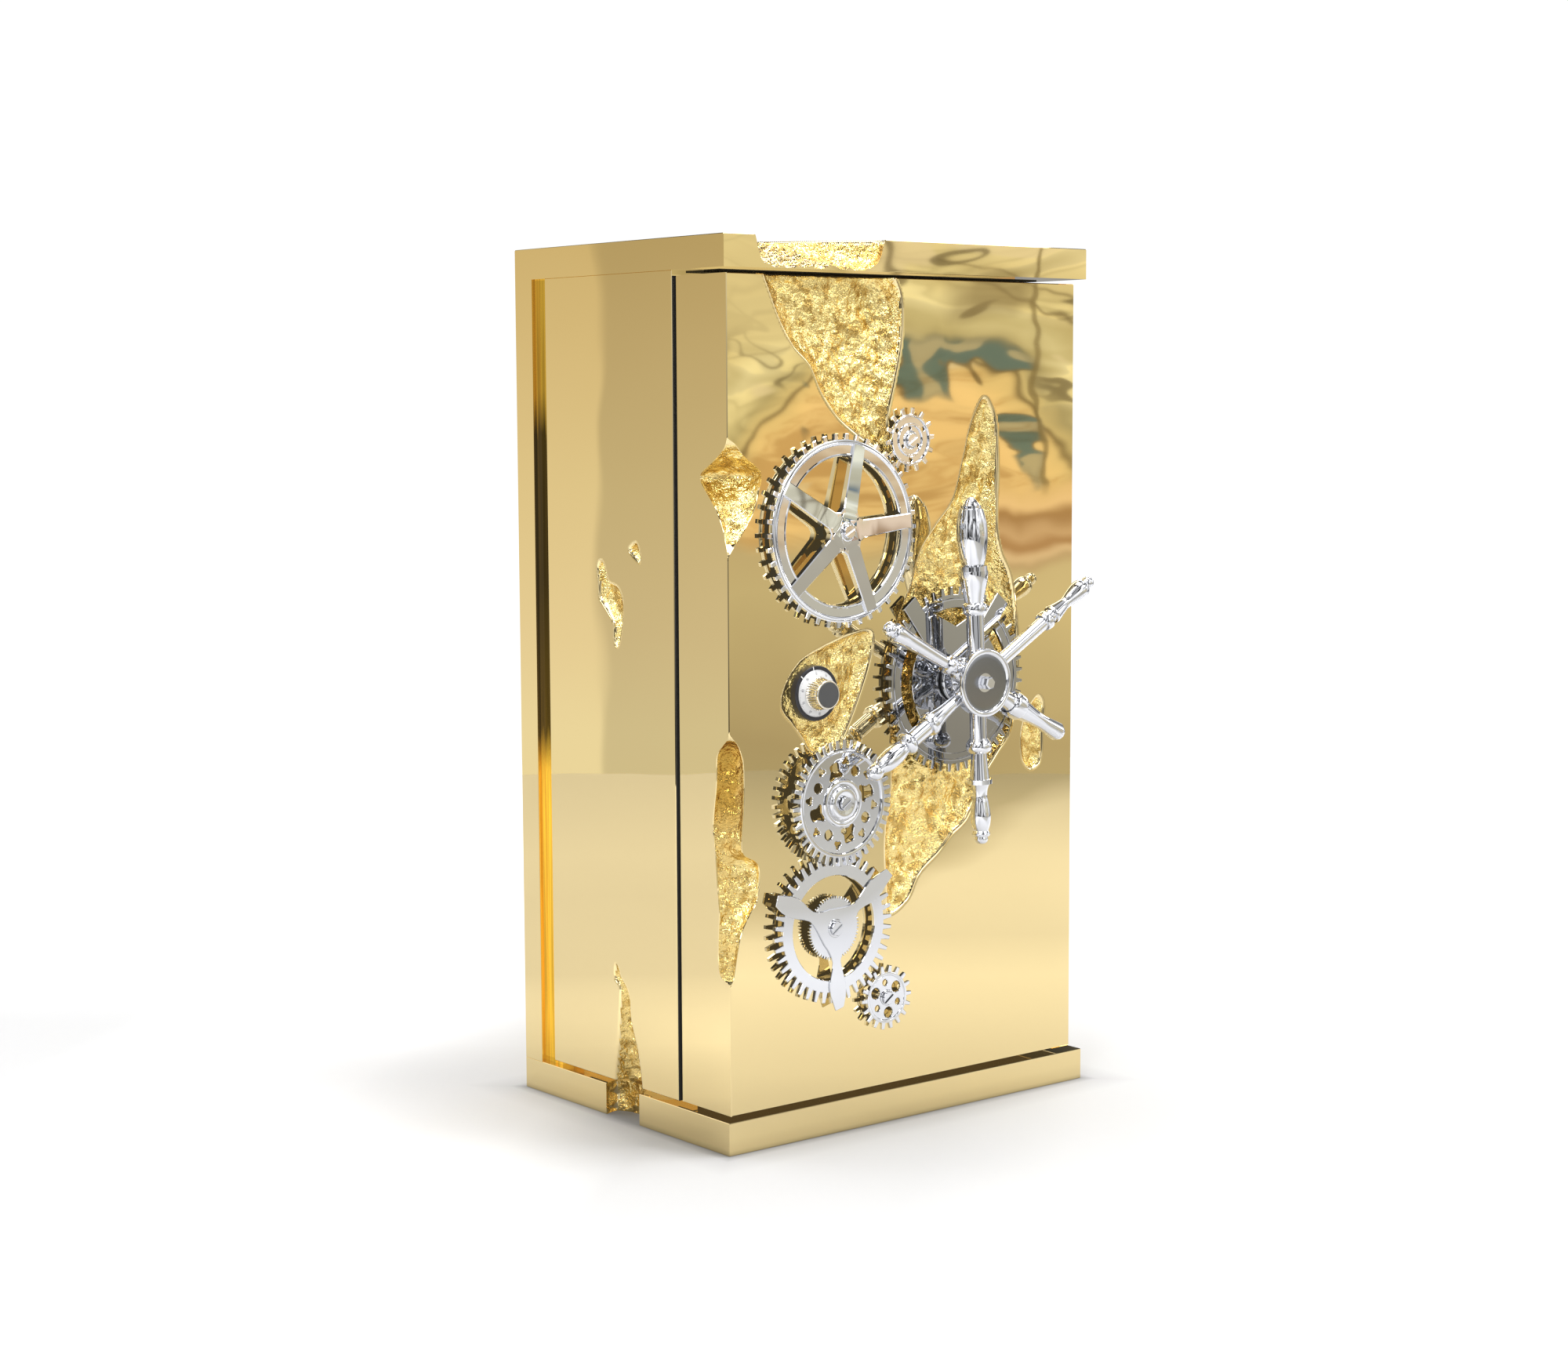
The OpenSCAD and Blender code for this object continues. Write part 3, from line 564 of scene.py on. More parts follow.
CHANNEL_A = [
    (60, 1300), (66, 1262), (83, 1222), (101, 1184), (124, 1149), (155, 1121), (176, 1082),
    (207, 1046), (250, 1016), (282, 1000), (300, 985), (303, 1010), (299, 1045),
    (313, 1103), (325, 1158), (326, 1210), (316, 1238), (300, 1262), (292, 1300),
]
CHANNEL_C = [
    (488, 1072), (465, 1033), (449, 979), (430, 922), (396, 885), (364, 846),
    (346, 796), (320, 750), (310, 690), (307, 590), (308, 500), (297, 440),
    (296, 390), (299, 345), (298, 318), (313, 316), (340, 335), (360, 368),
    (397, 395), (425, 420), (458, 444), (488, 500), (517, 535), (546, 570),
    (560, 640), (560, 720), (547, 798), (525, 840), (516, 885), (518, 960),
    (515, 1030), (504, 1062),
]
CHANNEL_D = [
    (262, 736), (225, 731), (172, 715), (132, 696), (108, 665), (101, 637),
    (121, 612), (139, 590), (155, 569), (182, 562), (205, 575), (226, 608),
    (247, 651), (264, 693), (270, 722),
]
CHANNEL_F = [
    (608, 615), (617, 600), (615, 560), (612, 520), (600, 507), (586, 508),
    (574, 525), (572, 560), (583, 592), (597, 609),
]
# Bites through the door's front left edge: height, reach on the front, reach on the side.
BITE_B = [
    (1018, 1, 1), (1010, 14, 4), (1000, 23, 12), (989, 35, 27), (978, 52, 46), (968, 60, 61),
    (958, 60, 62), (944, 56, 50), (928, 52, 35), (911, 44, 22), (893, 32, 12), (875, 18, 6),
    (862, 7, 2), (852, 1, 1),
]
BITE_E = [
    (605, 1, 1), (598, 7, 3), (588, 16, 14), (575, 22, 27), (560, 26, 30), (530, 27, 31),
    (500, 26, 36), (475, 24, 39), (450, 22, 37), (432, 25, 34), (420, 46, 33), (408, 53, 32),
    (385, 53, 30), (362, 49, 27), (345, 36, 26), (320, 21, 28), (295, 14, 29), (270, 9, 28),
    (256, 6, 22), (247, 1, 1),
]
CHANNEL_G = [
    (304, 837), (293, 827), (284, 806), (262, 799), (250, 784), (248, 765),
    (252, 738), (257, 719), (264, 711), (270, 722), (272, 747), (295, 771),
    (306, 782), (308, 805), (311, 825),
]
CHANNEL_G2 = [
    (214, 866), (207, 858), (203, 843), (206, 838), (222, 847), (231, 856), (222, 864),
]
CHANNEL_H = [
    (275, 236), (268, 229), (262, 216), (248, 203), (240, 185), (237, 155),
    (223, 117), (215, 82), (210, 50), (206, 10), (283, 10), (280, 50), (277, 75), (272, 105), (268, 150),
    (266, 199), (278, 213), (278, 228),
]
PLINTH_BITE = [
    (0, 218), (12, 224), (30, 248), (34, 272), (31, 297), (22, 309), (0, 303),
]
CAP_BITE = [
    (57, -60), (57, -12), (58, 20), (72, 62), (105, 108), (140, 134), (168, 139), (228, 78),
    (293, 23), (296, 10), (290, -12), (290, -60),
]


def hollow(x, z, outline, deepest, seed, wall=8.0, rough=1.0, lip=2.0):
    """Depth of a molten channel at each point, and how far inside it each point is."""
    pts = np.column_stack([x, z])
    d = inside_by(pts, smooth(outline))
    near = d > -lip - 1
    depth = np.zeros(len(pts))
    e = np.clip(d[near] + lip, 0, None)
    e = e * e / (e + 3.0)
    floor = np.broadcast_to(np.asarray(deepest, float), d.shape)[near]
    shape = floor * (1 - np.exp(-e / wall))
    ramp = step(2.0, 11.0, d[near])
    rough = np.broadcast_to(np.asarray(rough, float), d.shape)[near]
    depth[near] = np.maximum(shape + ramp * molten(pts[near], seed, rough), 0.06 * e)
    return depth, d


# ---- sheets, worked into relief ----

RIM = (0, 1, -2, -1)


def sheet(x, y, z, flip=False):
    """A shape with one grid of points, and the numbers of those points."""
    shape = Shape()
    shape.add(np.stack([x, y, z], -1), grid_faces(*x.shape, flip=flip))
    return shape, np.arange(x.size).reshape(x.shape)


def fill(points, up=True):
    """Triangles over a flat loop of points, turned to face up or down."""
    pts = [Vector((p[0], p[1], 0)) for p in points]
    out = []
    for tri in tessellate_polygon([pts]):
        a, b, c = (pts[i] for i in tri)
        out.append(tri if ((b - a).cross(c - a).z > 0) == up else tri[::-1])
    return out


def grid_lines(index, cols=RIM, rows=RIM):
    """Edges along some columns and rows of a grid of vertices."""
    lines = []
    for col in cols:
        lines += np.column_stack([index[:-1, col], index[1:, col]]).tolist()
    for row in rows:
        lines += np.column_stack([index[row, :-1], index[row, 1:]]).tolist()
    return lines


def box_edges(index, first):
    """Edges from the corners of a worked sheet to the four corners behind it, and between those."""
    front = [index[0, 0], index[0, -1], index[-1, -1], index[-1, 0]]
    return [[int(a), first + k] for k, a in enumerate(front)] + [
        [first + k, first + (k + 1) % 4] for k in range(4)
    ]


def gild(obj, worked):
    """Molten metal on the worked squares of a sheet, which are the piece's first faces."""
    obj.data.materials.append(MOLTEN)
    quads = worked[:-1, :-1] & worked[1:, :-1] & worked[:-1, 1:] & worked[1:, 1:]
    which = np.zeros(len(obj.data.polygons), np.int32)
    which[: quads.size] = quads.ravel()
    obj.data.polygons.foreach_set("material_index", which)


def face_values(obj, field):
    """The middle or the normal of every face of a piece."""
    values = np.empty(len(obj.data.polygons) * 3)
    obj.data.polygons.foreach_get(field, values)
    return values.reshape(-1, 3)


def face_middles(obj):
    """Middles of the faces of a piece in cabinet millimetres."""
    return (face_values(obj, "center") - metres([0, 0, 0])) * 1000


# ---- door ----


def bite_reaches(zs):
    """How far the bites reach over the door's front and side, at each height."""
    front_reach = np.full(len(zs), 1.1)
    side_reach = np.full(len(zs), 1.1)
    for bite in (BITE_B, BITE_E):
        b = smooth(bite[::-1], 6, closed=False)
        inside = (zs > b[0, 0]) & (zs < b[-1, 0])
        front_reach[inside] = np.maximum(1.1, np.interp(zs[inside], b[:, 0], b[:, 1]))
        side_reach[inside] = np.maximum(1.1, np.interp(zs[inside], b[:, 0], b[:, 2]))
    return front_reach, side_reach


def front_channels(x, z):
    """Depth of the channels at points of the door's front."""
    total = np.zeros(len(x))
    rises = 9 + 22 * step(990, 1200, z)
    for outline, deep, seed, wall, rough in (
        (CHANNEL_A, rises, 3, 11, 0.55 + 0.6 * step(1225, 1110, z)),
        (CHANNEL_C, 10 + 12 * step(340, 460, z) * step(1060, 900, z), 5, 8, 1.0),
        (CHANNEL_D, 10, 9, 6, 0.75),
        (CHANNEL_F, 8, 11, 5, 0.6),
    ):
        depth, d = hollow(x, z, outline, deep, seed, wall, rough)
        if outline is CHANNEL_D:
            near_dial = step(62, 44, np.hypot(x - DIAL[0], z - DIAL[1]))
            depth = np.where(d > 0, depth * (1 - near_dial) + 5.0 * near_dial, depth)
        total = np.maximum(total, depth)
    return total


def door():
    """Door block: front and left side are one sheet, along u, folded at the bitten edge."""
    left, front, bottom = DOOR[0]
    right, back, top = DOOR[1]
    zs = ticks((bottom, 1.2), (bottom + 1.2, 12), (236, 2.3), (1200, 2.3), (top - 1.2, 1.2), top)
    us = np.concatenate(
        [
            ticks((-(back - front), 8), (-76, 2.6), -35.0)[:-1],
            ticks((-35.0, 2.2), 35.0)[:-1],
            ticks((35.0, 2.3), (330, 2.5), (622, 10), (right - left - 1.2, 1.2), right - left),
        ]
    )
    u, z = np.meshgrid(us, zs)
    xf, ys = (np.broadcast_to(reach[:, None], u.shape) for reach in bite_reaches(zs))
    on_front, on_side = u >= 35, u <= -35
    # the bites, or a fine chamfer where there is none
    t = (u + 35) / 70
    x, y = left + xf * t, ys * (1 - t)
    x[on_front] = (left + np.where(u < 110, xf + (u - 35) * (110 - xf) / 75, u))[on_front]
    y[on_front] = 0
    x[on_side] = left
    y[on_side] = np.where(u > -90, ys + (-u - 35) * (90 - ys) / 55, -u)[on_side]
    bent = ~on_front & ~on_side
    reach = np.minimum(xf, ys)
    inner = np.minimum(t * xf, (1 - t) * ys) * 1.6 + np.minimum(t, 1 - t) * np.maximum(xf, ys)
    melt = 2.0 + molten(np.column_stack([x[bent], y[bent], z[bent]]), 31, 0.8)
    sag = 0.20 * reach[bent] * 4 * (t * (1 - t))[bent]
    dip = step(3, 14, reach)[bent] * (sag + step(1.5, 12, np.minimum(inner, 60)[bent]) * melt)
    dip = np.maximum(dip, 0)
    x[bent] += dip * 0.707
    y[bent] += dip * 0.707
    depth = front_channels(x[on_front], z[on_front])
    y[on_front] += depth
    # fine chamfers round the front face
    y[-1, on_front[-1]] += 1.2
    y[0, on_front[0]] += 1.2
    y[:, -1] = np.maximum(y[:, -1], 1.2)
    shape, index = sheet(x, y, z)
    corner = shape.add([[right, back, bottom], [right, back, top]], [])
    for k, up in ((0, False), (-1, True)):
        ids = [*index[k], corner - k]
        loop = [*zip(x[k], y[k]), (right, back)]
        shape.faces += [[ids[i] for i in tri] for tri in fill(loop, up)]
    shape.faces.append([*index[:, -1], corner + 1, corner])
    shape.faces.append([corner, corner + 1, *index[::-1, 0]])
    folds = [int(np.argmin(np.abs(us - 35))), int(np.argmin(np.abs(us + 35)))]
    lines = grid_lines(index, (*folds, -1, -2, 0))
    lines += [[corner, corner + 1]]
    lines += [[index[k, end], corner - k] for k in (0, -1) for end in (0, -1)]
    obj = piece("door", shape, GOLD, "door", ["door_slab"], None, lines)
    worked = (np.abs(u) < 34) & (reach > 4)
    worked[on_front] = depth > 1.2
    gild(obj, worked)


# ---- left side panel ----


def side_panel():
    lo, hi = PANEL
    ys = ticks((lo[1], 0.8), (lo[1] + 0.8, 14), (190, 2.0), (322, 14), (hi[1] - 0.8, 0.8), hi[1])
    zs = ticks(
        (lo[2], 0.8), (lo[2] + 0.8, 2.0), (250, 14), (698, 2.0), (880, 20), (hi[2] - 0.8, 0.8), hi[2]
    )
    y, z = np.meshgrid(ys, zs)
    fy, fz = y.ravel(), z.ravel()
    depth = np.zeros(len(fy))
    for outline, deep, seed, wall, rough, lip in (
        (CHANNEL_G, 15, 41, 4, 0.9, 1.0),
        (CHANNEL_G2, 10, 43, 3, 0.5, 0.8),
        (CHANNEL_H, 12 + 16 * step(170, 50, fz), 45, 5, 1.0, 1.0),
    ):
        dd, _ = hollow(fy, fz, outline, deep, seed, wall, rough, lip)
        depth = np.maximum(depth, np.minimum(dd, 31))
    x = depth.reshape(y.shape)
    x[0, :] += 0.8
    x[-1, :] += 0.8
    x[:, 0] = np.maximum(x[:, 0], 0.8)
    x[:, -1] = np.maximum(x[:, -1], 0.8)
    shape, index = sheet(x, y, z, flip=True)
    behind = ((lo[1], lo[2]), (hi[1], lo[2]), (hi[1], hi[2]), (lo[1], hi[2]))
    c = shape.add([[hi[0], *p] for p in behind], [])
    sides = ((index[0], 1, 0), (index[-1][::-1], 3, 2), (index[::-1, 0], 0, 3), (index[:, -1], 2, 1))
    for row, a, b in sides:
        shape.faces.append([*row, c + a, c + b])
    shape.faces.append([c, c + 1, c + 2, c + 3])
    lines = grid_lines(index) + box_edges(index, c)
    replaced = ["side_panel_left"]
    obj = piece("side_panel_left_skin", shape, GOLD, "cabinet", replaced, None, lines)
    gild(obj, x > 1.0)


# ---- cap ----


def cap():
    lo, hi = CAP
    xs = ticks((lo[0], 0.9), (lo[0] + 0.9, 12), (46, 2.0), (312, 30), (hi[0] - 0.9, 0.9), hi[0])
    ys = ticks((lo[1], 0.9), (lo[1] + 0.9, 2.0), (152, 30), (hi[1] - 0.9, 0.9), hi[1])
    x, y = np.meshgrid(xs, ys)
    fx, fy = x.ravel(), y.ravel()
    floor = lo[2] + 2.0 + 0.26 * fy
    depth, _ = hollow(fx, fy, CAP_BITE, hi[2] - floor, 51, 6.5, 1.2, 1.5)
    z = np.maximum(hi[2] - depth, lo[2] + 1.2).reshape(x.shape)
    z[0] -= 0.9 * (z[0] > hi[2] - 0.1)
    z[-1, :] -= 0.9
    z[:, 0] -= 0.9
    z[:, -1] -= 0.9
    shape, index = sheet(x, y, z)
    under = ((lo[0], lo[1]), (hi[0], lo[1]), (hi[0], hi[1]), (lo[0], hi[1]))
    c = shape.add([[*p, lo[2]] for p in under], [])
    ring = [*index[0][::-1], c, c + 1]
    loop = [*zip(x[0][::-1], z[0][::-1]), (lo[0], lo[2]), (hi[0], lo[2])]
    shape.faces += [[ring[i] for i in tri] for tri in fill(loop)]
    for row, a, b in ((index[-1], 2, 3), (index[:, 0], 3, 0), (index[::-1, -1], 1, 2)):
        shape.faces.append([*row, c + a, c + b])
    shape.faces.append([c + 3, c + 2, c + 1, c])
    lines = grid_lines(index) + box_edges(index, c)
    obj = piece("cap_slab", shape, GOLD, "cabinet", ["cap"], None, lines)
    gild(obj, (depth > 1.0).reshape(x.shape))


# ---- plinth ----


def plinth():
    lo, hi = PLINTH
    bite = smooth(PLINTH_BITE, 8, closed=False)
    length = np.concatenate([[0], np.cumsum(np.linalg.norm(np.diff(bite, axis=0), axis=1))])
    at = np.linspace(0, length[-1], int(length[-1] / 2))
    wall = np.column_stack([np.interp(at, length, bite[:, k]) for k in (0, 1)])
    tangent = np.gradient(wall, axis=0)
    tangent /= np.linalg.norm(tangent, axis=1, keepdims=True)
    normal = np.column_stack([tangent[:, 1], -tangent[:, 0]])
    ease = step(0, 10, np.minimum(at, length[-1] - at))
    corners = np.array([[lo[0], lo[1]], [hi[0], lo[1]], [hi[0], hi[1]], [lo[0], hi[1]]])
    inward = np.array([[1, 1], [-1, 1], [-1, -1], [1, -1]])
    zs = ticks((lo[2], 0.8), (lo[2] + 0.8, 2.0), (hi[2] - 0.8, 0.8), hi[2])
    loops = []
    for z in zs:
        inset = 0.8 if z in (zs[0], zs[-1]) else 0.0
        push = ease * (1.5 + molten(np.column_stack([wall, np.full(len(wall), z)]), 61, 0.7))
        moved = wall + normal * push[:, None]
        moved[:, 0] = np.maximum(moved[:, 0], inset)
        loop = np.concatenate([corners + inset * inward, moved[::-1]])
        loops.append(np.column_stack([loop, np.full(len(loop), z)]))
    cols = len(loops[0])
    shape = Shape()
    shape.add(np.concatenate(loops), grid_faces(len(zs), cols, wrap=True))
    for level, up in ((0, False), (len(zs) - 1, True)):
        shape.faces += [[level * cols + i for i in tri] for tri in fill(loops[level], up)]
    obj = piece("plinth_slab", shape, GOLD, "cabinet", ["plinth"], sharp=40)
    obj.data.materials.append(MOLTEN)
    x, y, _ = face_middles(obj).T
    upright = np.abs(face_values(obj, "normal")[:, 2]) < 0.9
    worked = (y > 219) & (y < 309) & (x < 60) & (x > 1.0) & upright
    obj.data.polygons.foreach_set("material_index", worked.astype(np.int32))


def shade_strip(name, x0, x1, y0, y1, z0, z1):
    """A dark strip of painted shade in the narrow gap around the door, standing for the dark line of the
    gap.
    """
    verts = [(x, y, z) for z in (z0, z1) for x, y in ((x0, y0), (x1, y0), (x1, y1), (x0, y1))]
    faces = [(3, 2, 1, 0), (4, 5, 6, 7), (0, 1, 5, 4), (1, 2, 6, 5), (2, 3, 7, 6), (3, 0, 4, 7)]
    shape = Shape()
    shape.add(verts, faces)
    piece(name, shape, BLACK_RUBBER_AND_GAP_SHADE, "cabinet", sharp=30)


door()
side_panel()
cap()
plinth()
# painted shade: dark strips in the gaps beside and above the door
shade_strip("shade_strip_left", 1.0, 14.0, PANEL[0][1] - 1.6, PANEL[0][1] - 0.05, DOOR[0][2], DOOR[1][2])
shade_strip("shade_strip_top", 55.0, DOOR[1][0], 82.0, 118.0, CAP[0][2] - 1.6, CAP[0][2] - 0.05)

# ---- wheel ----

# Each spoke: along the shaft's radius, (distance, radius); a None breaks the smooth line.
SPOKES = [
    [(28, 13), (100, 13.4), None, (100, 15.5), (104, 18.2), (110, 18.8), (115, 17.8), (118, 15), None,
     (118, 14), (135, 17.5), (153, 21.6), (165, 22.4), None, (165, 21.2), (172, 21.2), None,
     (174, 17), (186, 20), (204, 22.8),
     (220, 23.6), (238, 22.2), (256, 17.8), None, (257, 15.4), (261, 15.4), None, (261, 13.2),
     (267, 9.5), (273, 4), (273.5, 0.6)],
    [(28, 10), (156, 10.8), None, (156, 13.5), (160, 15), (166, 15), (170, 13), None, (171, 11.2),
     (177, 11.2), None,
     (177, 13.5), (180, 14.5), (184, 13.8), (202, 10), (212, 9.2), (226, 12.2), (242, 15), (252, 14),
     (259, 9.5), None,
     (260, 8.0), (263, 9.2), (267, 9.6), (272, 7.8), (275.5, 3), (276, 0.6)],
    [(28, 12), (66, 13), (74, 14.5), None, (74, 17.5), (79, 20.3), (88, 20.8), (96, 20), (99, 17.5), None,
     (99, 17), (112, 15), (132, 12.4), (152, 11.6), (172, 13.2), (186, 14.2), None, (187, 12.4),
     (193, 11), (197, 6), (198, 0.6)],
    [(28, 12.5), (84, 13), None, (84, 14), (91, 18.4), (97, 19.4), (102, 18), (106, 14), None,
     (106, 11.6), (125, 13),
     (145, 14.8), None, (145, 18.8), (152, 18.8), None, (153, 14.5), (162, 11.4), (172, 10.8),
     (180, 12.6), (200, 15.2), (214, 14),
     (223, 11.2), None, (225, 12.4), (228, 13.6), (231, 12.6), None, (232, 9.5), (237, 10.2),
     (242, 7), (244, 0.6)],
    [(28, 8.6), (60, 9.4), (85, 11.6), (104, 15.6), None, (104, 17.4), (111, 18), (116, 16), None,
     (117, 12.6), (150, 12.6), None,
     (152, 14.5), (157, 17.8), (162, 17.6), (167, 14), None, (168, 11.6), (180, 14.6), (196, 15.8),
     (212, 13.6), (222, 9.4), None,
     (223, 10.8), (230, 12.6), (238, 10.6), (243, 5), (244, 0.6)],
    [(28, 12.5), (60, 12.8), None, (60, 14.6), (66, 15.6), (71, 14), None, (72, 9.6), (105, 10.4),
     (150, 12.8), (174, 14.8),
     (183, 14), None, (184, 10.6), (188, 10.8), (192, 12), (197, 10.4), (201, 5), (202, 0.6)],
]
SPOKE_PLANE = -62.0
SPOKE_TURN = (93, 30.8, -27.8, -87.7, 210.5, 153)


def fair(profile, n=5):
    """A turned profile with smooth stretches between the breaks."""
    out, run = [], []
    for p in profile + [None]:
        if p is None:
            if len(run) > 2:
                out += smooth(run, n, closed=False).tolist()
            else:
                out += [list(q) for q in run]
            run = []
        else:
            run.append(p)
    return [(s, max(r, 0.3)) for s, r in out]


def spokes():
    for k, profile in enumerate(SPOKES):
        a = math.radians(SPOKE_TURN[k])
        s = Shape()
        turned(s, fair(profile), (WHEEL[0], SPOKE_PLANE, WHEEL[1]), (math.cos(a), 0, math.sin(a)))
        name = "spoke_%d" % (k + 1)
        piece(name + "_turned", s, CHROME, "wheel", [name], sharp=32)


spokes()

# ---- hub, gears and dial ----


def toothed(c, n, root, tip, w_root, w_tip, turn):
    """Outline of a gear with n straight-sided teeth."""
    out = []
    for i in range(n):
        for side, high in ((-1, 0), (-1, 1), (1, 1), (1, 0)):
            r, w = (tip, w_tip) if high else (root, w_root)
            a = math.radians(turn + i * 360 / n) + side * math.asin(w / 2 / r)
            out.append((c[0] + r * math.cos(a), c[1] + r * math.sin(a)))
    return np.array(out)


def placed(c, turn, points):
    """Flat points (along, across) turned and moved to a centre."""
    a = math.radians(turn)
    p = np.asarray(points, float)
    across = p[:, 0] * math.cos(a) - p[:, 1] * math.sin(a)
    up = p[:, 0] * math.sin(a) + p[:, 1] * math.cos(a)
    return np.column_stack([c[0] + across, c[1] + up])


def away(c, turn, r):
    """The point at a distance and angle from a centre."""
    a = math.radians(turn)
    return c + r * np.array([math.cos(a), math.sin(a)])


def hoop(shape, profile, c, segments=144):
    """A ring: closed profile of (radius, depth y) turned about the Y axis at c."""
    prof = np.asarray(profile, float)
    a = np.arange(segments) * 2 * math.pi / segments
    rows = [
        np.column_stack([c[0] + r * np.cos(a), np.full(segments, y), c[1] + r * np.sin(a)])
        for r, y in np.concatenate([prof, prof[:1]])
    ]
    flip = runs_left(prof)
    faces = grid_faces(len(prof), segments, wrap=True, flip=flip).tolist()
    last = (len(prof) - 1) * segments
    k = np.arange(segments)
    n = (k + 1) % segments
    close = np.stack([last + k, last + n, n, k], 1)
    faces += (close[:, ::-1] if flip else close).tolist()
    shape.add(np.concatenate(rows[:-1]), faces)


def boss(shape, c, profile, segments=72):
    """A round boss on the Y axis through c: profile of (depth y, radius), back to front."""
    turned(shape, [(-y, r) for y, r in profile], (c[0], 0.0, c[1]), (0, -1, 0), segments)


def bar(shape, c, turn, stations, edge=0.9):
    """A chamfered bar pointing away from c; stations are (distance, half width, front y, back y)."""
    rows = []
    for s, w, front, back in stations:
        ring = [
            (w, back - edge), (w, front + edge), (w - edge, front), (edge - w, front),
            (-w, front + edge), (-w, back - edge), (edge - w, back), (w - edge, back),
        ]
        flat = placed(c, turn, [(s, t) for t, y in ring])
        rows.append(np.column_stack([flat[:, 0], [y for t, y in ring], flat[:, 1]]))
    first = shape.add(np.concatenate(rows), grid_faces(len(rows), 8, wrap=True, flip=True))
    shape.faces.append([first + k for k in range(8)])
    shape.faces.append([first + (len(rows) - 1) * 8 + 7 - k for k in range(8)])


def slotted(shape, c, y_base, r, height, turn):
    """A slotted screw head."""
    boss(shape, c, [(y_base, 0.5), (y_base, r), (y_base - height * 0.45, r), (y_base - height * 0.45, 0.5)])
    gap = 1.2
    first = math.degrees(math.asin(gap / r))
    for half in (0, 180):
        arc = [math.radians(first + (180 - 2 * first) * k / 30) for k in range(31)]
        rim = placed(c, turn + half, [(r * math.cos(a), r * math.sin(a)) for a in arc])
        slab(shape, rim, [], y_base - height, y_base - height * 0.4, 0.8)


def gear_one():
    c = middle("gear_1")
    s = Shape()
    slab(s, toothed(c, 42, 127.5, 139.5, 9, 6, 1.17), [circle(c, 118, 144)], -14.6, -8.0, 0.8)
    hoop(
        s,
        [(108, -8), (107, -9), (106.4, -12), (106.8, -15.6), (108, -17.3), (109.6, -17.6), (110.8, -16.6),
         (122.6, -16.6), (123.6, -17.6), (125.4, -18.3), (127, -17.9), (128.2, -16.9), (129.2, -16.9),
         (130.6, -16.2),
         (131.2, -14.6), (131.2, -12), (130.6, -8)],
        c,
    )
    for k in range(5):
        bar(
            s, c, 5.5 + 72 * k,
            [(6, 16, -25, -12), (20, 14.6, -24.6, -12), (28, 13.2, -24, -12), (60, 12.2, -22.8, -11.6),
             (100, 11.2, -21.2, -11.2), (125, 10.8, -20.2, -11)],
            1.3,
        )
        for side in (-1, 1):
            web = [(10, 4), (17, 17), (23, 18.5), (26, 16.5), (33, 12.4), (22, 4)]
            web = [(along, across * side) for along, across in web]
            slab(s, placed(c, 5.5 + 72 * k, web[::side]), [], -24.2, -12, 1.4)
    cone = [(-5.5, 0.5), (-5.5, 21), (-22, 20), (-24.6, 15), (-25.4, 13), (-26.4, 12.2), (-26.5, 11)]
    boss(s, c, cone + [(-26.5, 0.5)])
    piece("gear_1_wheel", s, CHROME, "gear_1_body", ["gear_1"])


def gear_two():
    c = middle("gear_2")
    s = Shape()
    holes = [circle(c, 7, 30)]
    holes += [circle(away(c, a, 28.6), 3.4, 28) for a in (32, 152, 272)]
    holes += [circle(away(c, a, 17), 2.4, 24) for a in (92, 212, 332)]
    slab(s, toothed(c, 14, 37, 47, 7.5, 5.4, 5.46), holes, -10.4, -5.5, 0.7)
    hoop(s, [(33.6, -10), (33.9, -12.4), (34.6, -13.1), (36.4, -13.1), (37.3, -12.2), (37.5, -10)], c, 96)
    hoop(s, [(20.6, -10), (20.9, -12.2), (21.6, -12.9), (23.6, -12.9), (24.4, -12.1), (24.6, -10)], c, 96)
    hoop(s, [(6.4, -6), (6.4, -12), (9, -12.6), (12, -12.2), (14, -10.2), (14, -6)], c, 72)
    piece("gear_2_wheel", s, CHROME, "gear_2_body", ["gear_2"])


def gear_three():
    c = WHEEL
    s = Shape()
    slab(s, toothed(c, 48, 127, 138.5, 7, 4.2, 3), [circle(c, 107, 144)], -14.5, -8.0, 0.8)
    hoop(s, [(118.9, -14), (119.2, -15.3), (119.8, -15.7), (121.2, -15.7), (121.8, -15.3), (122.1, -14)], c)

    def arc(r, a0, a1):
        n = int(abs(a1 - a0) / 3) + 1
        angles = [math.radians(a0 + (a1 - a0) * k / n) for k in range(n + 1)]
        return [(r * math.cos(a), r * math.sin(a)) for a in angles]

    # round mirror plate with a notch, two square-ended bars and a solid lower part
    face = arc(88, -19, 40) + arc(109, 58, 67) + [(0, 80)] + arc(109, 113, 120)
    face += arc(88, 139, 217) + arc(111, 219, 339)
    slab(s, placed(c, 0, face), [], -17, -10, 0.8)
    for a in (51, 128):
        slab(s, placed(c, a, [(60, -14), (150.5, -14), (150.5, 14), (60, 14)]), [], -17.3, -9.5, 0.8)
    piece("gear_3_wheel", s, DARK_CHROME, "wheel", ["gear_3"])
    s = Shape()
    boss(
        s, c,
        [(-17, 0.5), (-17, 29.9), (-21.2, 29.9), (-21.3, 33.2), (-22.2, 34), (-25.8, 34),
         (-26.8, 33.2), (-27, 31),
         (-27.2, 21), (-28.6, 19.2), (-47.4, 19), (-48, 18.2), (-48, 0.5)],
        96,
    )
    piece("shaft_collar_turned", s, CHROME, "wheel", ["shaft_collar"], sharp=40)


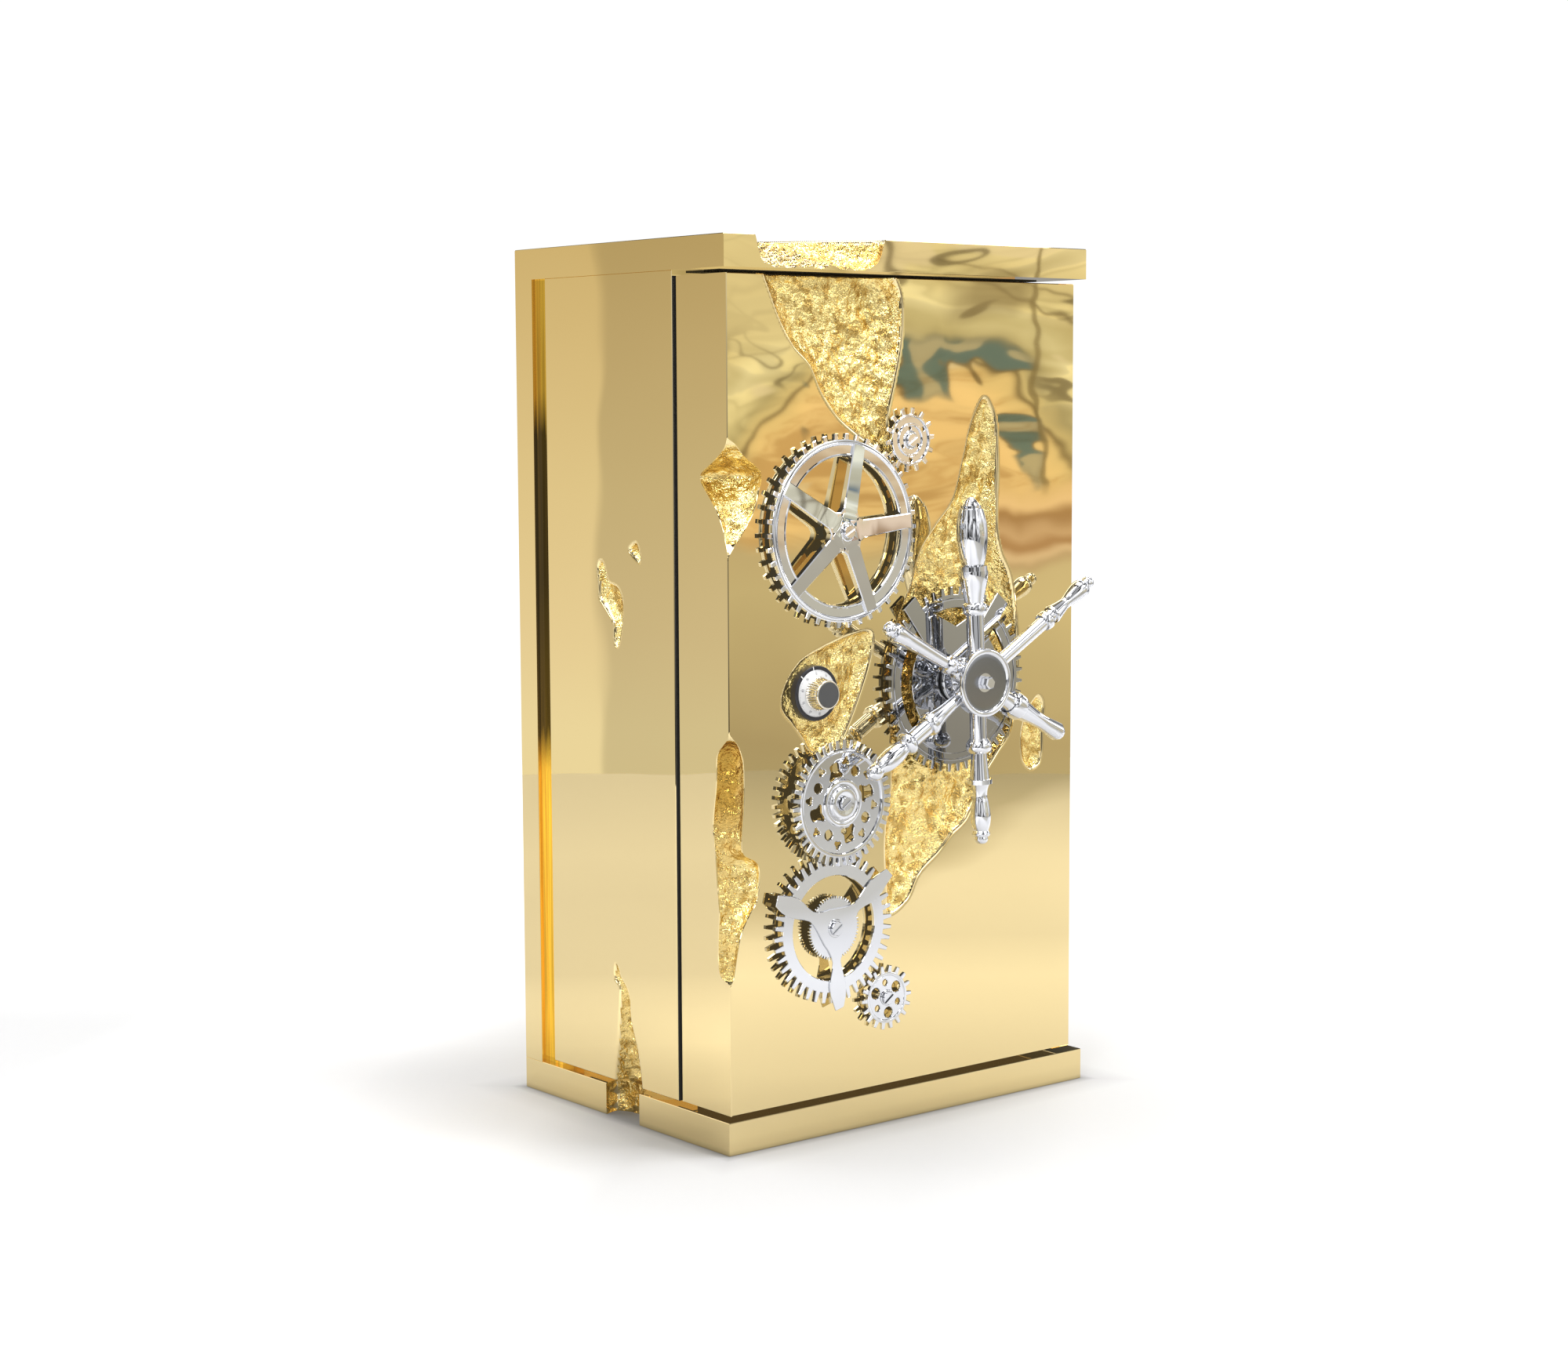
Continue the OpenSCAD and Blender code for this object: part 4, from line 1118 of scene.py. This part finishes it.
def gear_four():
    c = middle("gear_4")
    s = Shape()
    holes = [circle(c, 30, 96)]
    drop = [(58, -8.5), (60.5, -1), (57.5, 8.5), (50, 8.2), (45.5, 10.5), (38.5, 13.5)]
    drop = smooth(drop + [(36.2, 9), (38.8, 2), (37.6, -5), (37, -10.5), (41, -12), (47, -8.2)], 4)
    angles = [math.radians(10 * k) for k in range(36)]
    petals = [(5.7 + 1.5 * math.cos(3 * a), a) for a in angles]
    clover = np.array([(r * math.cos(a), r * math.sin(a)) for r, a in petals])
    for k in range(4):
        base = 14.5 + 90 * k
        holes.append(placed(c, base, drop))
        holes.append(placed(c, base - 44, circle((51, 0), 7.8, 40)))
        for off in (-22, -66):
            holes.append(placed(c, base + off, clover + (61, 0)))
    slab(s, toothed(c, 42, 78, 92, 7.6, 5.2, 1.5), [circle(c, 75, 120)], -25.3, -17, 0.8)
    slab(s, circle(c, 75.6, 120), holes, -24.0, -18, 0.9)
    bead = [(73, -25.4), (74, -26.6), (76, -27.1), (78, -27), (79.4, -26), (79.8, -24)]
    hoop(s, [(73, -20), *bead, (79.8, -20)], c)
    boss(
        s, c,
        [(-16.6, 0.5), (-16.6, 34), (-25.4, 35), (-26.8, 34), (-27.3, 31.6), (-27.1, 29.4), (-25.8, 27.4),
         (-25.8, 25.2), (-28.4, 24.2), (-30.2, 22.4), (-31, 19.6), (-31, 16), (-30.2, 14), (-30.2, 0.5)],
        96,
    )
    piece("gear_4_wheel", s, CHROME, "gear_4_body", ["gear_4"])


def gear_five():
    c = middle("gear_5")
    s = Shape()
    slab(s, toothed(c, 42, 95, 110.5, 8.4, 5.2, 2.56), [circle(c, 77, 144)], -13.4, -7.0, 0.8)
    piece("gear_5_wheel", s, CHROME, "gear_5_body", ["gear_5"])
    s = Shape()
    outline = []
    for b, length in ((33, 128), (153, 122), (273, 122)):
        blade = [
            (22, -21), (30, -15), (40, -10), (50, -7.6), (62, -9.6), (74, -13.4), (86, -15),
            (98, -13.8), (110, -9.8),
            (length - 0.5, -6), (length, -5), (length - 3, 9), (length - 4.5, 10), (104, 14.4),
            (90, 15.6), (76, 13.6),
            (62, 9.8), (50, 7.6), (40, 10), (30, 15),
        ]
        outline += placed(c, b, blade).tolist()
    slab(s, outline, [], -16.2, -13.4, 0.7)
    boss(s, c, [(-14, 0.5), (-14, 14), (-17, 13.6), (-18, 12.6), (-18, 0.5)])
    piece("propeller_blades", s, CHROME, "gear_5_body", ["propeller"])
    s = Shape()
    slab(s, toothed(c, 60, 43.6, 47, 2.8, 1.6, 0), [], -13.4, -9.5, 0.4)
    boss(s, c, [(-5.9, 0.5), (-5.9, 16), (-10, 16), (-10, 0.5)])
    piece("fine_gear_wheel", s, CHROME, "gear_5_body", ["fine_gear"])


def gear_six():
    c = middle("gear_6")
    s = Shape()
    holes = [circle(away(c, 38 + 60 * k, 23), 8.4 if k % 2 == 0 else 5, 36) for k in range(6)]
    slab(s, toothed(c, 18, 38, 48, 7, 4.8, 1.13), [circle(c, 33, 96)], -12.2, -6.4, 0.7)
    slab(s, circle(c, 33.6, 96), holes, -11.6, -7, 0.7)
    hoop(s, [(34.4, -11), (34.6, -12.6), (35.3, -12.9), (37.2, -12.9), (38, -12.5), (38.3, -11)], c, 96)
    boss(s, c, [(-5.9, 0.5), (-5.9, 12), (-12.6, 12), (-13.4, 11), (-13.5, 0.5)])
    piece("gear_6_wheel", s, CHROME, "gear_6_body", ["gear_6"])


def screws():
    s = Shape()
    for name, tip, r, turn in (
        ("gear_1", 26.9, 9.8, 28), ("gear_2", 12.9, 9.8, 32), ("gear_4", 31.4, 9.8, 35),
        ("gear_5", 18.4, 10.5, 35), ("gear_6", 13.9, 9.8, 36),
    ):
        slotted(s, middle(name), -tip, r, 3.4, turn)
    piece("stud_screw_heads", s, CHROME, "door", ["stud_screws"])


def hub():
    c = WHEEL
    s = Shape()
    bell = [(-50, 25), (-51.5, 27), (-55, 28.4), (-66, 29), (-69, 30.5), (-72, 35), (-74.4, 42), (-75, 43)]
    boss(s, c, [(-50, 16), *bell, (-75, 16)], 96)
    for k, turn in enumerate(SPOKE_TURN):
        a = math.radians(turn)
        reach = 50 if k == 5 else 44
        wide = SPOKES[k][0][1]
        turned(
            s,
            [(12, 12), (22, 15), (27, 16.4), (reach - 9, min(wide + 4.4, 16.6)), (reach - 3, wide + 3),
             (reach, wide + 1.8), (reach, wide - 1.5)],
            (c[0], SPOKE_PLANE, c[1]),
            (math.cos(a), 0, math.sin(a)),
        )
    piece("wheel_hub_body", s, CHROME, "wheel", ["wheel_hub"], sharp=40)
    s = Shape()
    boss(
        s, c,
        [(-75, 0.5), (-75, 44), (-76, 47.5), (-78, 50), (-80, 50.5), (-81.8, 50.2), (-83, 48.6),
         (-83.4, 46.4), (-83, 44.2),
         (-82, 42.8), (-80.6, 41.6), (-80.2, 40), (-79.9, 36), (-79.5, 24), (-79.3, 14), (-79.3, 0.5)],
        128,
    )
    hexagon = circle(c, 9.5, 6, 12)
    slab(s, hexagon, [], -92.5, -79.2, 1.6)
    obj = piece("hub_cap_dish", s, CHROME, "wheel", ["hub_cap"], sharp=35)
    obj.data.materials.append(DISH)
    x, y, z = face_middles(obj).T
    r = np.hypot(x - c[0], z - c[1])
    inner = (r < 41) & (r > 9) & (y < -79)
    obj.data.polygons.foreach_set("material_index", inner.astype(np.int32))


# Strokes of the digits on a grid 2 wide and 4 high.
DIGITS = {
    "0": [[(0, 1), (0, 3), (1, 4), (2, 3), (2, 1), (1, 0), (0, 1)]],
    "1": [[(0.4, 3.2), (1, 4), (1, 0)]],
    "2": [[(0, 3), (1, 4), (2, 3), (2, 2.4), (0, 0), (2, 0)]],
    "3": [[(0, 4), (2, 4), (1, 2.4), (2, 1.4), (1.4, 0), (0, 0.3)]],
    "4": [[(1.5, 0), (1.5, 4), (0, 1.2), (2, 1.2)]],
    "5": [[(2, 4), (0.2, 4), (0, 2.3), (1.4, 2.4), (2, 1.2), (1.2, 0), (0, 0.3)]],
    "6": [[(1.6, 4), (0.2, 2), (0, 1), (1, 0), (2, 1), (1, 2.2), (0.2, 1.6)]],
    "7": [[(0, 4), (2, 4), (0.8, 0)]],
    "8": [[(1, 2.2), (0.1, 3.1), (1, 4), (1.9, 3.1), (1, 2.2), (0, 1.1), (1, 0), (2, 1.1), (1, 2.2)]],
    "9": [[(0.4, 0), (1.8, 2), (2, 3), (1, 4), (0, 3), (1, 1.8), (1.8, 2.4)]],
}


def dial():
    c = DIAL
    s = Shape()
    lo, hi = span("dial_ring")
    front = lo[1]
    hoop(
        s,
        [(4.6, hi[1]), (4.6, -2.2), (34.3, -2.2), (34.4, front + 0.6), (35, front), (38.4, front),
         (39.6, front + 0.8),
         (40, front + 2.2), (40, hi[1])],
        c, 120,
    )
    piece("dial_ring_black", s, BLACK, "door", ["dial_ring"])
    s = Shape()
    mark = [(34.6, -0.7), (39.4, -0.7), (39.4, 0.7), (34.6, 0.7)]
    for a in (100, 138):
        slab(s, placed(c, a, mark), [], front - 0.15, front + 0.3, 0.1)
    piece("dial_index_marks", s, WHITE, "door", [])
    # the numbered disc: a flat rim sloping up to the knob
    s = Shape()
    hoop(
        s,
        [(4.1, -3), (4.1, -9.4), (25.5, -9.4), (26.4, -9.2), (33.4, -6.8), (33.9, -6.2), (34, -5.4),
         (34, -3)],
        c, 120,
    )
    piece("dial_disc_silver", s, SATIN, "dial", ["dial_disc"])
    s = Shape()

    def on_disc(r):
        return -9.2 + (r - 26.4) * 2.4 / 7.0 - 0.12

    def stroke(a, b, width):
        d = np.array(b) - np.array(a)
        n = np.array([-d[1], d[0]]) / max(np.linalg.norm(d), 1e-6) * width / 2
        quad = np.array([a - n, b - n, b + n, a + n])
        top = np.column_stack([quad[:, 0], on_disc(np.hypot(*(quad - c).T)), quad[:, 1]])
        low = top + [0, 0.3, 0]
        s.add(
            np.concatenate([top, low]),
            [[0, 1, 2, 3], [7, 6, 5, 4], [0, 4, 5, 1], [1, 5, 6, 2], [2, 6, 7, 3], [3, 7, 4, 0]],
        )

    for k in range(100):
        near = 30.9 if k % 10 == 0 else 31.7 if k % 5 == 0 else 32.3
        a, b = placed(c, 96 - 3.6 * k, [(near, 0), (33.3, 0)])
        stroke(a, b, 0.34)
    for k in range(10):
        text = str(10 * k)
        for j, digit in enumerate(text):
            for line in DIGITS[digit]:
                shift = 2.7 * (j - (len(text) - 1) / 2)
                pts = [(27.3 + 0.82 * y, -0.82 * (x - 1 + shift)) for x, y in line]
                pts = placed(c, 96 - 36 * k, pts)
                for a, b in zip(pts[:-1], pts[1:]):
                    stroke(a, b, 0.42)
    piece("dial_numbers", s, INK, "dial", [])
    # fluted knob
    s = Shape()
    count = 216
    a = np.arange(count) * 2 * math.pi / count
    flute = 0.5 + 0.5 * np.cos(36 * a)
    rows = []
    for y, r, deep in (
        (-9.4, 24.2, 0), (-10.4, 24.2, 0), (-11, 23.8, 0.9), (-16, 22.6, 1.2), (-22, 21.2, 1.1),
        (-27.4, 20, 0.8),
        (-28, 20.2, 0), (-28.6, 21, 0), (-31, 21, 0), (-31.7, 20.6, 0), (-32, 19.8, 0),
        (-32, 18.6, 0), (-31.2, 18.4, 0),
        (-31.2, 4, 0), (-9.4, 4, 0),
    ):
        rr = r - deep * flute
        rows.append(np.column_stack([c[0] + rr * np.cos(a), np.full(count, y), c[1] + rr * np.sin(a)]))
    rows.append(rows[0])
    s.add(np.concatenate(rows), grid_faces(len(rows), count, wrap=True))
    piece("dial_knob_fluted", s, WARM_CHROME, "dial", ["dial_knob"], sharp=40)
    s = Shape()
    boss(s, c, [(-30.5, 0.5), (-30.5, 18.2), (-32, 18.2), (-32.4, 17.6), (-32.5, 0.5)], 96)
    piece("dial_cap_dark", s, DARK_CAP, "dial", ["dial_cap"])


gear_one()
gear_two()
gear_three()
gear_four()
gear_five()
gear_six()
screws()
hub()
dial()

for name in ("shaft_ring", "wheel_shaft", "hinge_pins", "spindle"):
    node = frame["nodes"][name]
    node.data.shade_smooth()
    node.data.set_sharp_from_angle(angle=math.radians(30))

# ---- stage ----

# Level directions of the photograph: out of the door's front, and to the right along it.
OUT = (0.627, -0.779, 0.0)
BACK = (-0.627, 0.779, 0.0)
RIGHT = (0.779, 0.627, 0.0)


def floor_tone(g, inputs):
    """Pale floor with painted light and shade: a painted falloff leaves it brighter and even far out, with
    painted dimming in front of the door, a painted contact shadow close to the plinth and painted light and
    shade behind the cabinet; far ahead lies a darker, warmer patch.
    """
    place = g.where()
    forth, across = g.dot(place, OUT), g.dot(place, RIGHT)
    # painted falloff: darker near the cabinet, brighter far out
    pale = g.ramp(g.math("SQRT", g.dot(place, place)), [(0.35, 0.40), (1.2, 0.50), (2.6, 0.66)], 0.0, 4.0)
    # painted dimming in front of the door, deeper further out
    near = g.ramp(
        forth,
        [(0.26, 0.78), (0.45, 0.86), (1.2, 0.87), (1.6, 0.69), (2.2, 0.67), (3.2, 0.56), (3.9, 0.46)],
        0.0, 4.0,
    )
    # a darker, warmer patch far ahead
    corner = g.add(g.sub(forth, g.mul(across, 3.0)), g.mul(g.noise(place, 1.3, 2.0), 0.6))
    far_ahead_patch = g.ramp(corner, [(2.55, 1.0), (2.95, (0.66, 0.64, 0.57))], 0.0, 4.0)
    far_ahead_patch = g.mix(g.ramp(forth, [(1.5, 0.0), (1.9, 1.0)], 0.0, 4.0), (1.0, 1.0, 1.0), far_ahead_patch)
    # painted light close behind the cabinet, painted shade further back, plain to the right
    painted_light_and_shade_behind = g.ramp(
        g.dot(place, BACK),
        [(0.15, 1.0), (0.35, 1.5), (0.7, 1.55), (1.0, 1.20), (1.26, 0.95), (2.05, 0.83), (3.8, 0.80)],
        0.0, 4.0,
    )
    painted_light_and_shade_behind = g.mix(g.ramp(across, [(0.15, 0.0), (0.7, 1.0)]), painted_light_and_shade_behind, (1.1, 1.1, 1.1))
    aside = g.new("VectorMath")
    aside.operation = "ABSOLUTE"
    g.put(aside.inputs[0], place)
    aside = aside.outputs["Vector"]
    clear = g.top(g.sub(g.dot(aside, (1.0, 0.0, 0.0)), 0.352), g.sub(g.dot(aside, (0.0, 1.0, 0.0)), 0.26))
    # painted contact shadow round the plinth
    painted_contact_shadow = g.ramp(clear, [(0.0, 0.48), (0.02, 0.86), (0.07, 1.0)])
    tone = g.times(g.times(g.times(near, far_ahead_patch), painted_light_and_shade_behind), painted_contact_shadow)
    g.put(inputs["Base Color"], g.times(pale, tone))


def floor():
    """A round floor, 8 m across."""
    mat, g, inputs = principled("floor_pale", (0.72, 0.72, 0.72), 0.9)
    floor_tone(g, inputs)
    rim = [math.radians(5 * k) for k in range(72)]
    mesh = bpy.data.meshes.new("floor")
    mesh.from_pydata([(4.0 * math.cos(a), 4.0 * math.sin(a), 0) for a in rim], [], [list(range(72))])
    mesh.materials.append(mat)
    obj = bpy.data.objects.new("floor", mesh)
    scene.collection.objects.link(obj)


def lamp(name, place, aim, size, power):
    data = bpy.data.lights.new(name, "AREA")
    data.shape = "RECTANGLE"
    data.size = data.size_y = size
    data.energy = power
    obj = bpy.data.objects.new(name, data)
    obj.location = place
    obj.rotation_mode = "QUATERNION"
    obj.rotation_quaternion = (Vector(aim) - Vector(place)).to_track_quat("-Z", "Y")
    scene.collection.objects.link(obj)


floor()
lamp("key", (0.75, -0.9, 5.0), (0, 0, 0.0), 1.3, 300)
lamp("glint", (-3.4, -2.2, 3.6), (0, 0, 0.8), 0.5, 40)

# ---- the room that the metal mirrors ----

CREAM, SAND, TEAL = (0.88, 0.86, 0.68), (1.0, 0.80, 0.52), (0.16, 0.26, 0.33)
OLIVE, DARK = (0.60, 0.57, 0.42), (0.22, 0.17, 0.09)


def over_arch(g, arch, *stops):
    return g.ramp(arch, stops, 0.0, 2.4)


def over_height(g, v, *stops):
    return g.ramp(v, stops, -0.30, 0.06)


def large_room(g, way, rise):
    """Dark and light in large soft shapes, with bright panels above."""
    tone = g.ramp(
        g.noise(way, 2.6, 2.5, 1.4),
        [(0.38, 0.02), (0.43, 0.08), (0.465, 0.34), (0.50, 0.66), (0.54, 0.95), (0.62, 1.4)],
    )
    level = g.ramp(rise, [(-1.0, 0.62), (-0.2, 0.8), (0.1, 0.95), (0.45, 0.95), (1.0, 0.60)], -1.0, 1.0)
    panels = g.math("GREATER_THAN", g.noise(way, 3.4, 0.0), 0.60)
    panels = g.mul(panels, g.math("GREATER_THAN", rise, 0.25))
    return g.mix(panels, g.times(tone, level), (5.5, 5.5, 5.6))


def left_wall(g, way, rise, room):
    """The plain wall that the left side looks at, lighter past an upright edge."""
    left = g.dot(way, BACK)
    calm = g.ramp(
        rise,
        [(-0.12, (0.79, 0.78, 0.71)), (-0.085, (0.75, 0.71, 0.63)), (-0.03, (0.70, 0.65, 0.53)),
         (0.02, (0.64, 0.57, 0.43)), (0.06, (0.58, 0.50, 0.34)), (0.12, (0.62, 0.56, 0.42))],
        -0.4, 0.4,
    )
    along = g.div(g.dot(way, RIGHT), g.top(left, 0.05))
    along = g.stirred(along, way, 9.0, 2.0, 0.012)
    edge = g.ramp(along, [(0.02, 1.01), (0.064, 0.97), (0.068, 1.31), (0.10, 1.29)], 0.0, 0.2)
    calm = g.times(calm, edge)
    return g.mix(g.ramp(left, [(0.90, 0.0), (0.97, 1.0)]), room, calm)


def arches(g, way, arch):
    """Sand, olive and cream bands round a low middle, with sweeps of light over them."""
    hall = over_arch(
        g, arch,
        (0.0, (0.92, 0.74, 0.48)), (0.55, SAND), (0.80, (1.08, 0.88, 0.58)), (0.96, (0.95, 0.80, 0.50)),
        (0.985, DARK), (1.01, (0.85, 0.76, 0.50)), (1.08, OLIVE), (1.16, CREAM), (1.26, (1.0, 1.0, 0.84)),
        (1.38, (0.84, 0.80, 0.60)), (1.40, (0.24, 0.20, 0.13)), (1.42, CREAM), (1.50, (0.70, 0.66, 0.50)),
        (1.515, (0.26, 0.22, 0.14)), (1.53, (0.74, 0.70, 0.54)), (1.8, (1.0, 0.98, 0.82)),
        (2.05, (0.64, 0.60, 0.46)), (2.4, (0.66, 0.62, 0.48)),
    )
    sweep = g.ramp(
        g.noise(g.times(way, (1.0, 1.0, 2.4)), 12.0, 2.0, 2.0),
        [(0.40, (0.80, 0.78, 0.70)), (0.50, (1.0, 1.0, 1.0)), (0.515, (1.28, 1.26, 1.18)),
         (0.56, (1.10, 1.09, 1.04)), (0.575, (0.90, 0.88, 0.80)), (0.64, (1.15, 1.14, 1.08))],
    )
    return g.mix(over_arch(g, arch, (0.98, 0.0), (1.08, 1.0)), hall, g.times(hall, sweep))


def fragments(g, way, arch, u, hall):
    """Pale patches, and pieces of dark-edged teal glass along the arch."""
    patch = g.noise(g.times(way, (1.0, 1.0, 2.2)), 19.0, 1.0, 0.6)
    hall = g.mix(g.ramp(patch, [(0.36, 0.7), (0.38, 0.0)]), hall, (1.0, 0.95, 0.85))
    glass = g.mix(1.0, way, (-0.010, -0.008, 0.008), "ADD")
    glass = g.noise(g.times(glass, (1.0, 1.0, 1.8)), 17.0, 1.5, 1.6)
    band = g.mul(
        over_arch(g, arch, (0.70, 0.0), (0.76, 1.0), (1.06, 1.0), (1.12, 0.0)),
        g.ramp(u, [(0.004, 0.0), (0.010, 1.0), (0.096, 1.0), (0.102, 0.0)], 0.0, 0.2),
    )
    for start, end, strength, tone in (
        (0.505, 0.512, 0.9, DARK), (0.518, 0.526, 1.0, TEAL), (0.600, 0.608, 0.8, (0.66, 0.62, 0.50)),
    ):
        hall = g.mix(g.mul(band, g.ramp(glass, [(start, 0.0), (end, strength)])), hall, tone)
    return hall


def wires(g, way, arch, hall):
    """Two sets of thin dark lines over the upper part, along the middle of smooth noise."""
    for flat, scale, bend, middle, line, reach, tone in (
        (1.9, 13.0, 0.9, 0.5, ((0.007, 0.85), (0.013, 0.0)), (1.02, 1.12), (0.20, 0.17, 0.11)),
        (2.6, 7.0, 1.4, 0.47, ((0.005, 0.8), (0.009, 0.0)), (1.10, 1.24), (0.24, 0.19, 0.11)),
    ):
        wire = g.off(g.noise(g.times(way, (1.0, 1.0, flat)), scale, 2.0, bend), middle)
        above = over_arch(g, arch, (reach[0], 0.0), (reach[1], 1.0))
        hall = g.mix(g.mul(g.ramp(wire, line, 0.0, 0.05), above), hall, tone)
    return hall


def wood(g, way, arch, hall):
    """Long grain inside the arch."""
    grain = g.ramp(
        g.noise(g.times(way, (1.0, 1.0, 5.0)), 16.0, 4.0, 1.2),
        [(0.40, (0.72, 0.62, 0.50)), (0.47, (1.0, 0.97, 0.92)), (0.50, (0.84, 0.74, 0.62)),
         (0.53, (1.02, 1.0, 0.96)), (0.60, (1.12, 1.08, 1.02))],
    )
    return g.mix(over_arch(g, arch, (0.90, 1.0), (1.0, 0.0)), hall, g.times(hall, grain))


def corners(g, u, v, hall):
    """An upright line, a shaded corner high on the right and a light one on the left."""
    trunk = g.off(g.add(u, g.mul(v, 0.12)), 0.098)
    hall = g.mix(g.ramp(trunk, [(0.0012, 0.8), (0.0020, 0.0)], 0.0, 0.01), hall, (0.26, 0.21, 0.11))
    nook = g.oval(u, v, (0.078, 0.038), (0.018, 0.012))
    hall = g.mix(g.ramp(nook, [(0.5, 0.75), (1.1, 0.0)], 0.0, 2.0), hall, (0.34, 0.29, 0.19))
    light = g.mul(
        g.ramp(u, [(0.008, 0.8), (0.02, 0.0)], 0.0, 0.2), g.ramp(v, [(0.018, 0.0), (0.03, 1.0)], -0.3, 0.1)
    )
    return g.mix(light, hall, (0.92, 0.88, 0.68))


def low_wall(g, u, v, hall):
    """The calm wall low down, and a striped counter above it to the right."""
    low = over_height(
        g, v,
        (-0.20, (0.54, 0.50, 0.40)), (-0.150, (0.55, 0.52, 0.41)), (-0.128, (0.54, 0.49, 0.38)),
        (-0.100, (0.63, 0.58, 0.45)), (-0.075, (0.73, 0.68, 0.53)), (-0.050, (0.70, 0.63, 0.49)),
    )
    low = g.times(low, g.ramp(u, [(0.0, 0.94), (0.10, 1.10)], 0.0, 0.2))
    stripes = over_height(
        g, v,
        (-0.060, (0.66, 0.54, 0.42)), (-0.056, (0.95, 0.78, 0.66)), (-0.052, (0.50, 0.30, 0.16)),
        (-0.048, (0.80, 0.60, 0.46)), (-0.043, (0.46, 0.28, 0.14)), (-0.039, (1.10, 0.86, 0.62)),
        (-0.033, (1.0, 0.78, 0.50)),
    )
    hall = g.mix(over_height(g, v, (-0.058, 1.0), (-0.046, 0.0)), hall, low)
    beside = g.mul(
        g.ramp(u, [(0.066, 0.0), (0.074, 1.0)]),
        over_height(g, v, (-0.064, 0.0), (-0.060, 1.0), (-0.034, 1.0), (-0.030, 0.0)),
    )
    return g.mix(beside, hall, stripes)


def show_room(g, way, rise, room):
    """The room in front of the door: u runs to its right, v up."""
    facing = g.dot(way, OUT)
    ahead = g.top(facing, 0.05)
    u = g.stirred(g.div(g.dot(way, RIGHT), ahead), way, 26.0, 3.0, 0.045)
    v = g.stirred(g.div(rise, ahead), way, 21.0, 3.0, 0.035)
    arch = g.oval(u, v, (0.044, -0.044), (0.072, 0.064))
    hall = arches(g, way, arch)
    hall = fragments(g, way, arch, u, hall)
    hall = wires(g, way, arch, hall)
    hall = wood(g, way, arch, hall)
    hall = corners(g, u, v, hall)
    hall = low_wall(g, u, v, hall)
    share = g.mul(g.ramp(facing, [(0.90, 0.0), (0.96, 1.0)]), g.ramp(rise, [(0.10, 1.0), (0.25, 0.0)]))
    return g.mix(share, room, hall)


def studio_light():
    """The room around the cabinet; the camera itself sees plain white behind the floor."""
    world = bpy.data.worlds.new("studio")
    scene.world = world
    world.use_nodes = True
    g = Graph(world.node_tree)
    way = g.where("Generated")
    rise = g.dot(way, UP)
    room = large_room(g, way, rise)
    room = left_wall(g, way, rise, room)
    room = show_room(g, way, rise, room)
    soft = world.node_tree.nodes["Background"]
    g.put(soft.inputs["Color"], room)
    soft.inputs["Strength"].default_value = 1.0
    white = g.new("Background")
    white.inputs["Color"].default_value = (1, 1, 1, 1)
    white.inputs["Strength"].default_value = 1.05
    both = g.new("MixShader")
    g.put(both.inputs["Fac"], g.new("LightPath").outputs["Is Camera Ray"])
    g.put(both.inputs[1], soft.outputs["Background"])
    g.put(both.inputs[2], white.outputs["Background"])
    g.put(world.node_tree.nodes["World Output"].inputs["Surface"], both.outputs["Shader"])


studio_light()

# ---- camera ----


def photo_camera():
    """The photograph's camera, solved from the cabinet's straight edges."""
    yaw, pitch, roll = (math.radians(a) for a in (38.940, 5.972, -0.245))
    aim = Vector((math.sin(yaw) * math.cos(pitch), math.cos(yaw) * math.cos(pitch), -math.sin(pitch)))
    right = aim.cross(Vector((0, 0, 1))).normalized()
    up = right.cross(aim)
    side = right * math.cos(roll) + up * math.sin(roll)
    top = up * math.cos(roll) - right * math.sin(roll)
    lens = bpy.data.cameras.new("camera")
    lens.lens = 61.75
    lens.sensor_width = 36.0
    camera = bpy.data.objects.new("camera", lens)
    turn = Matrix((side, top, -aim)).transposed().to_4x4()
    camera.matrix_world = Matrix.Translation(Vector((-2.6378, -3.2166, 1.0644))) @ turn
    scene.collection.objects.link(camera)
    scene.camera = camera


photo_camera()
scene.view_settings.view_transform = "Standard"
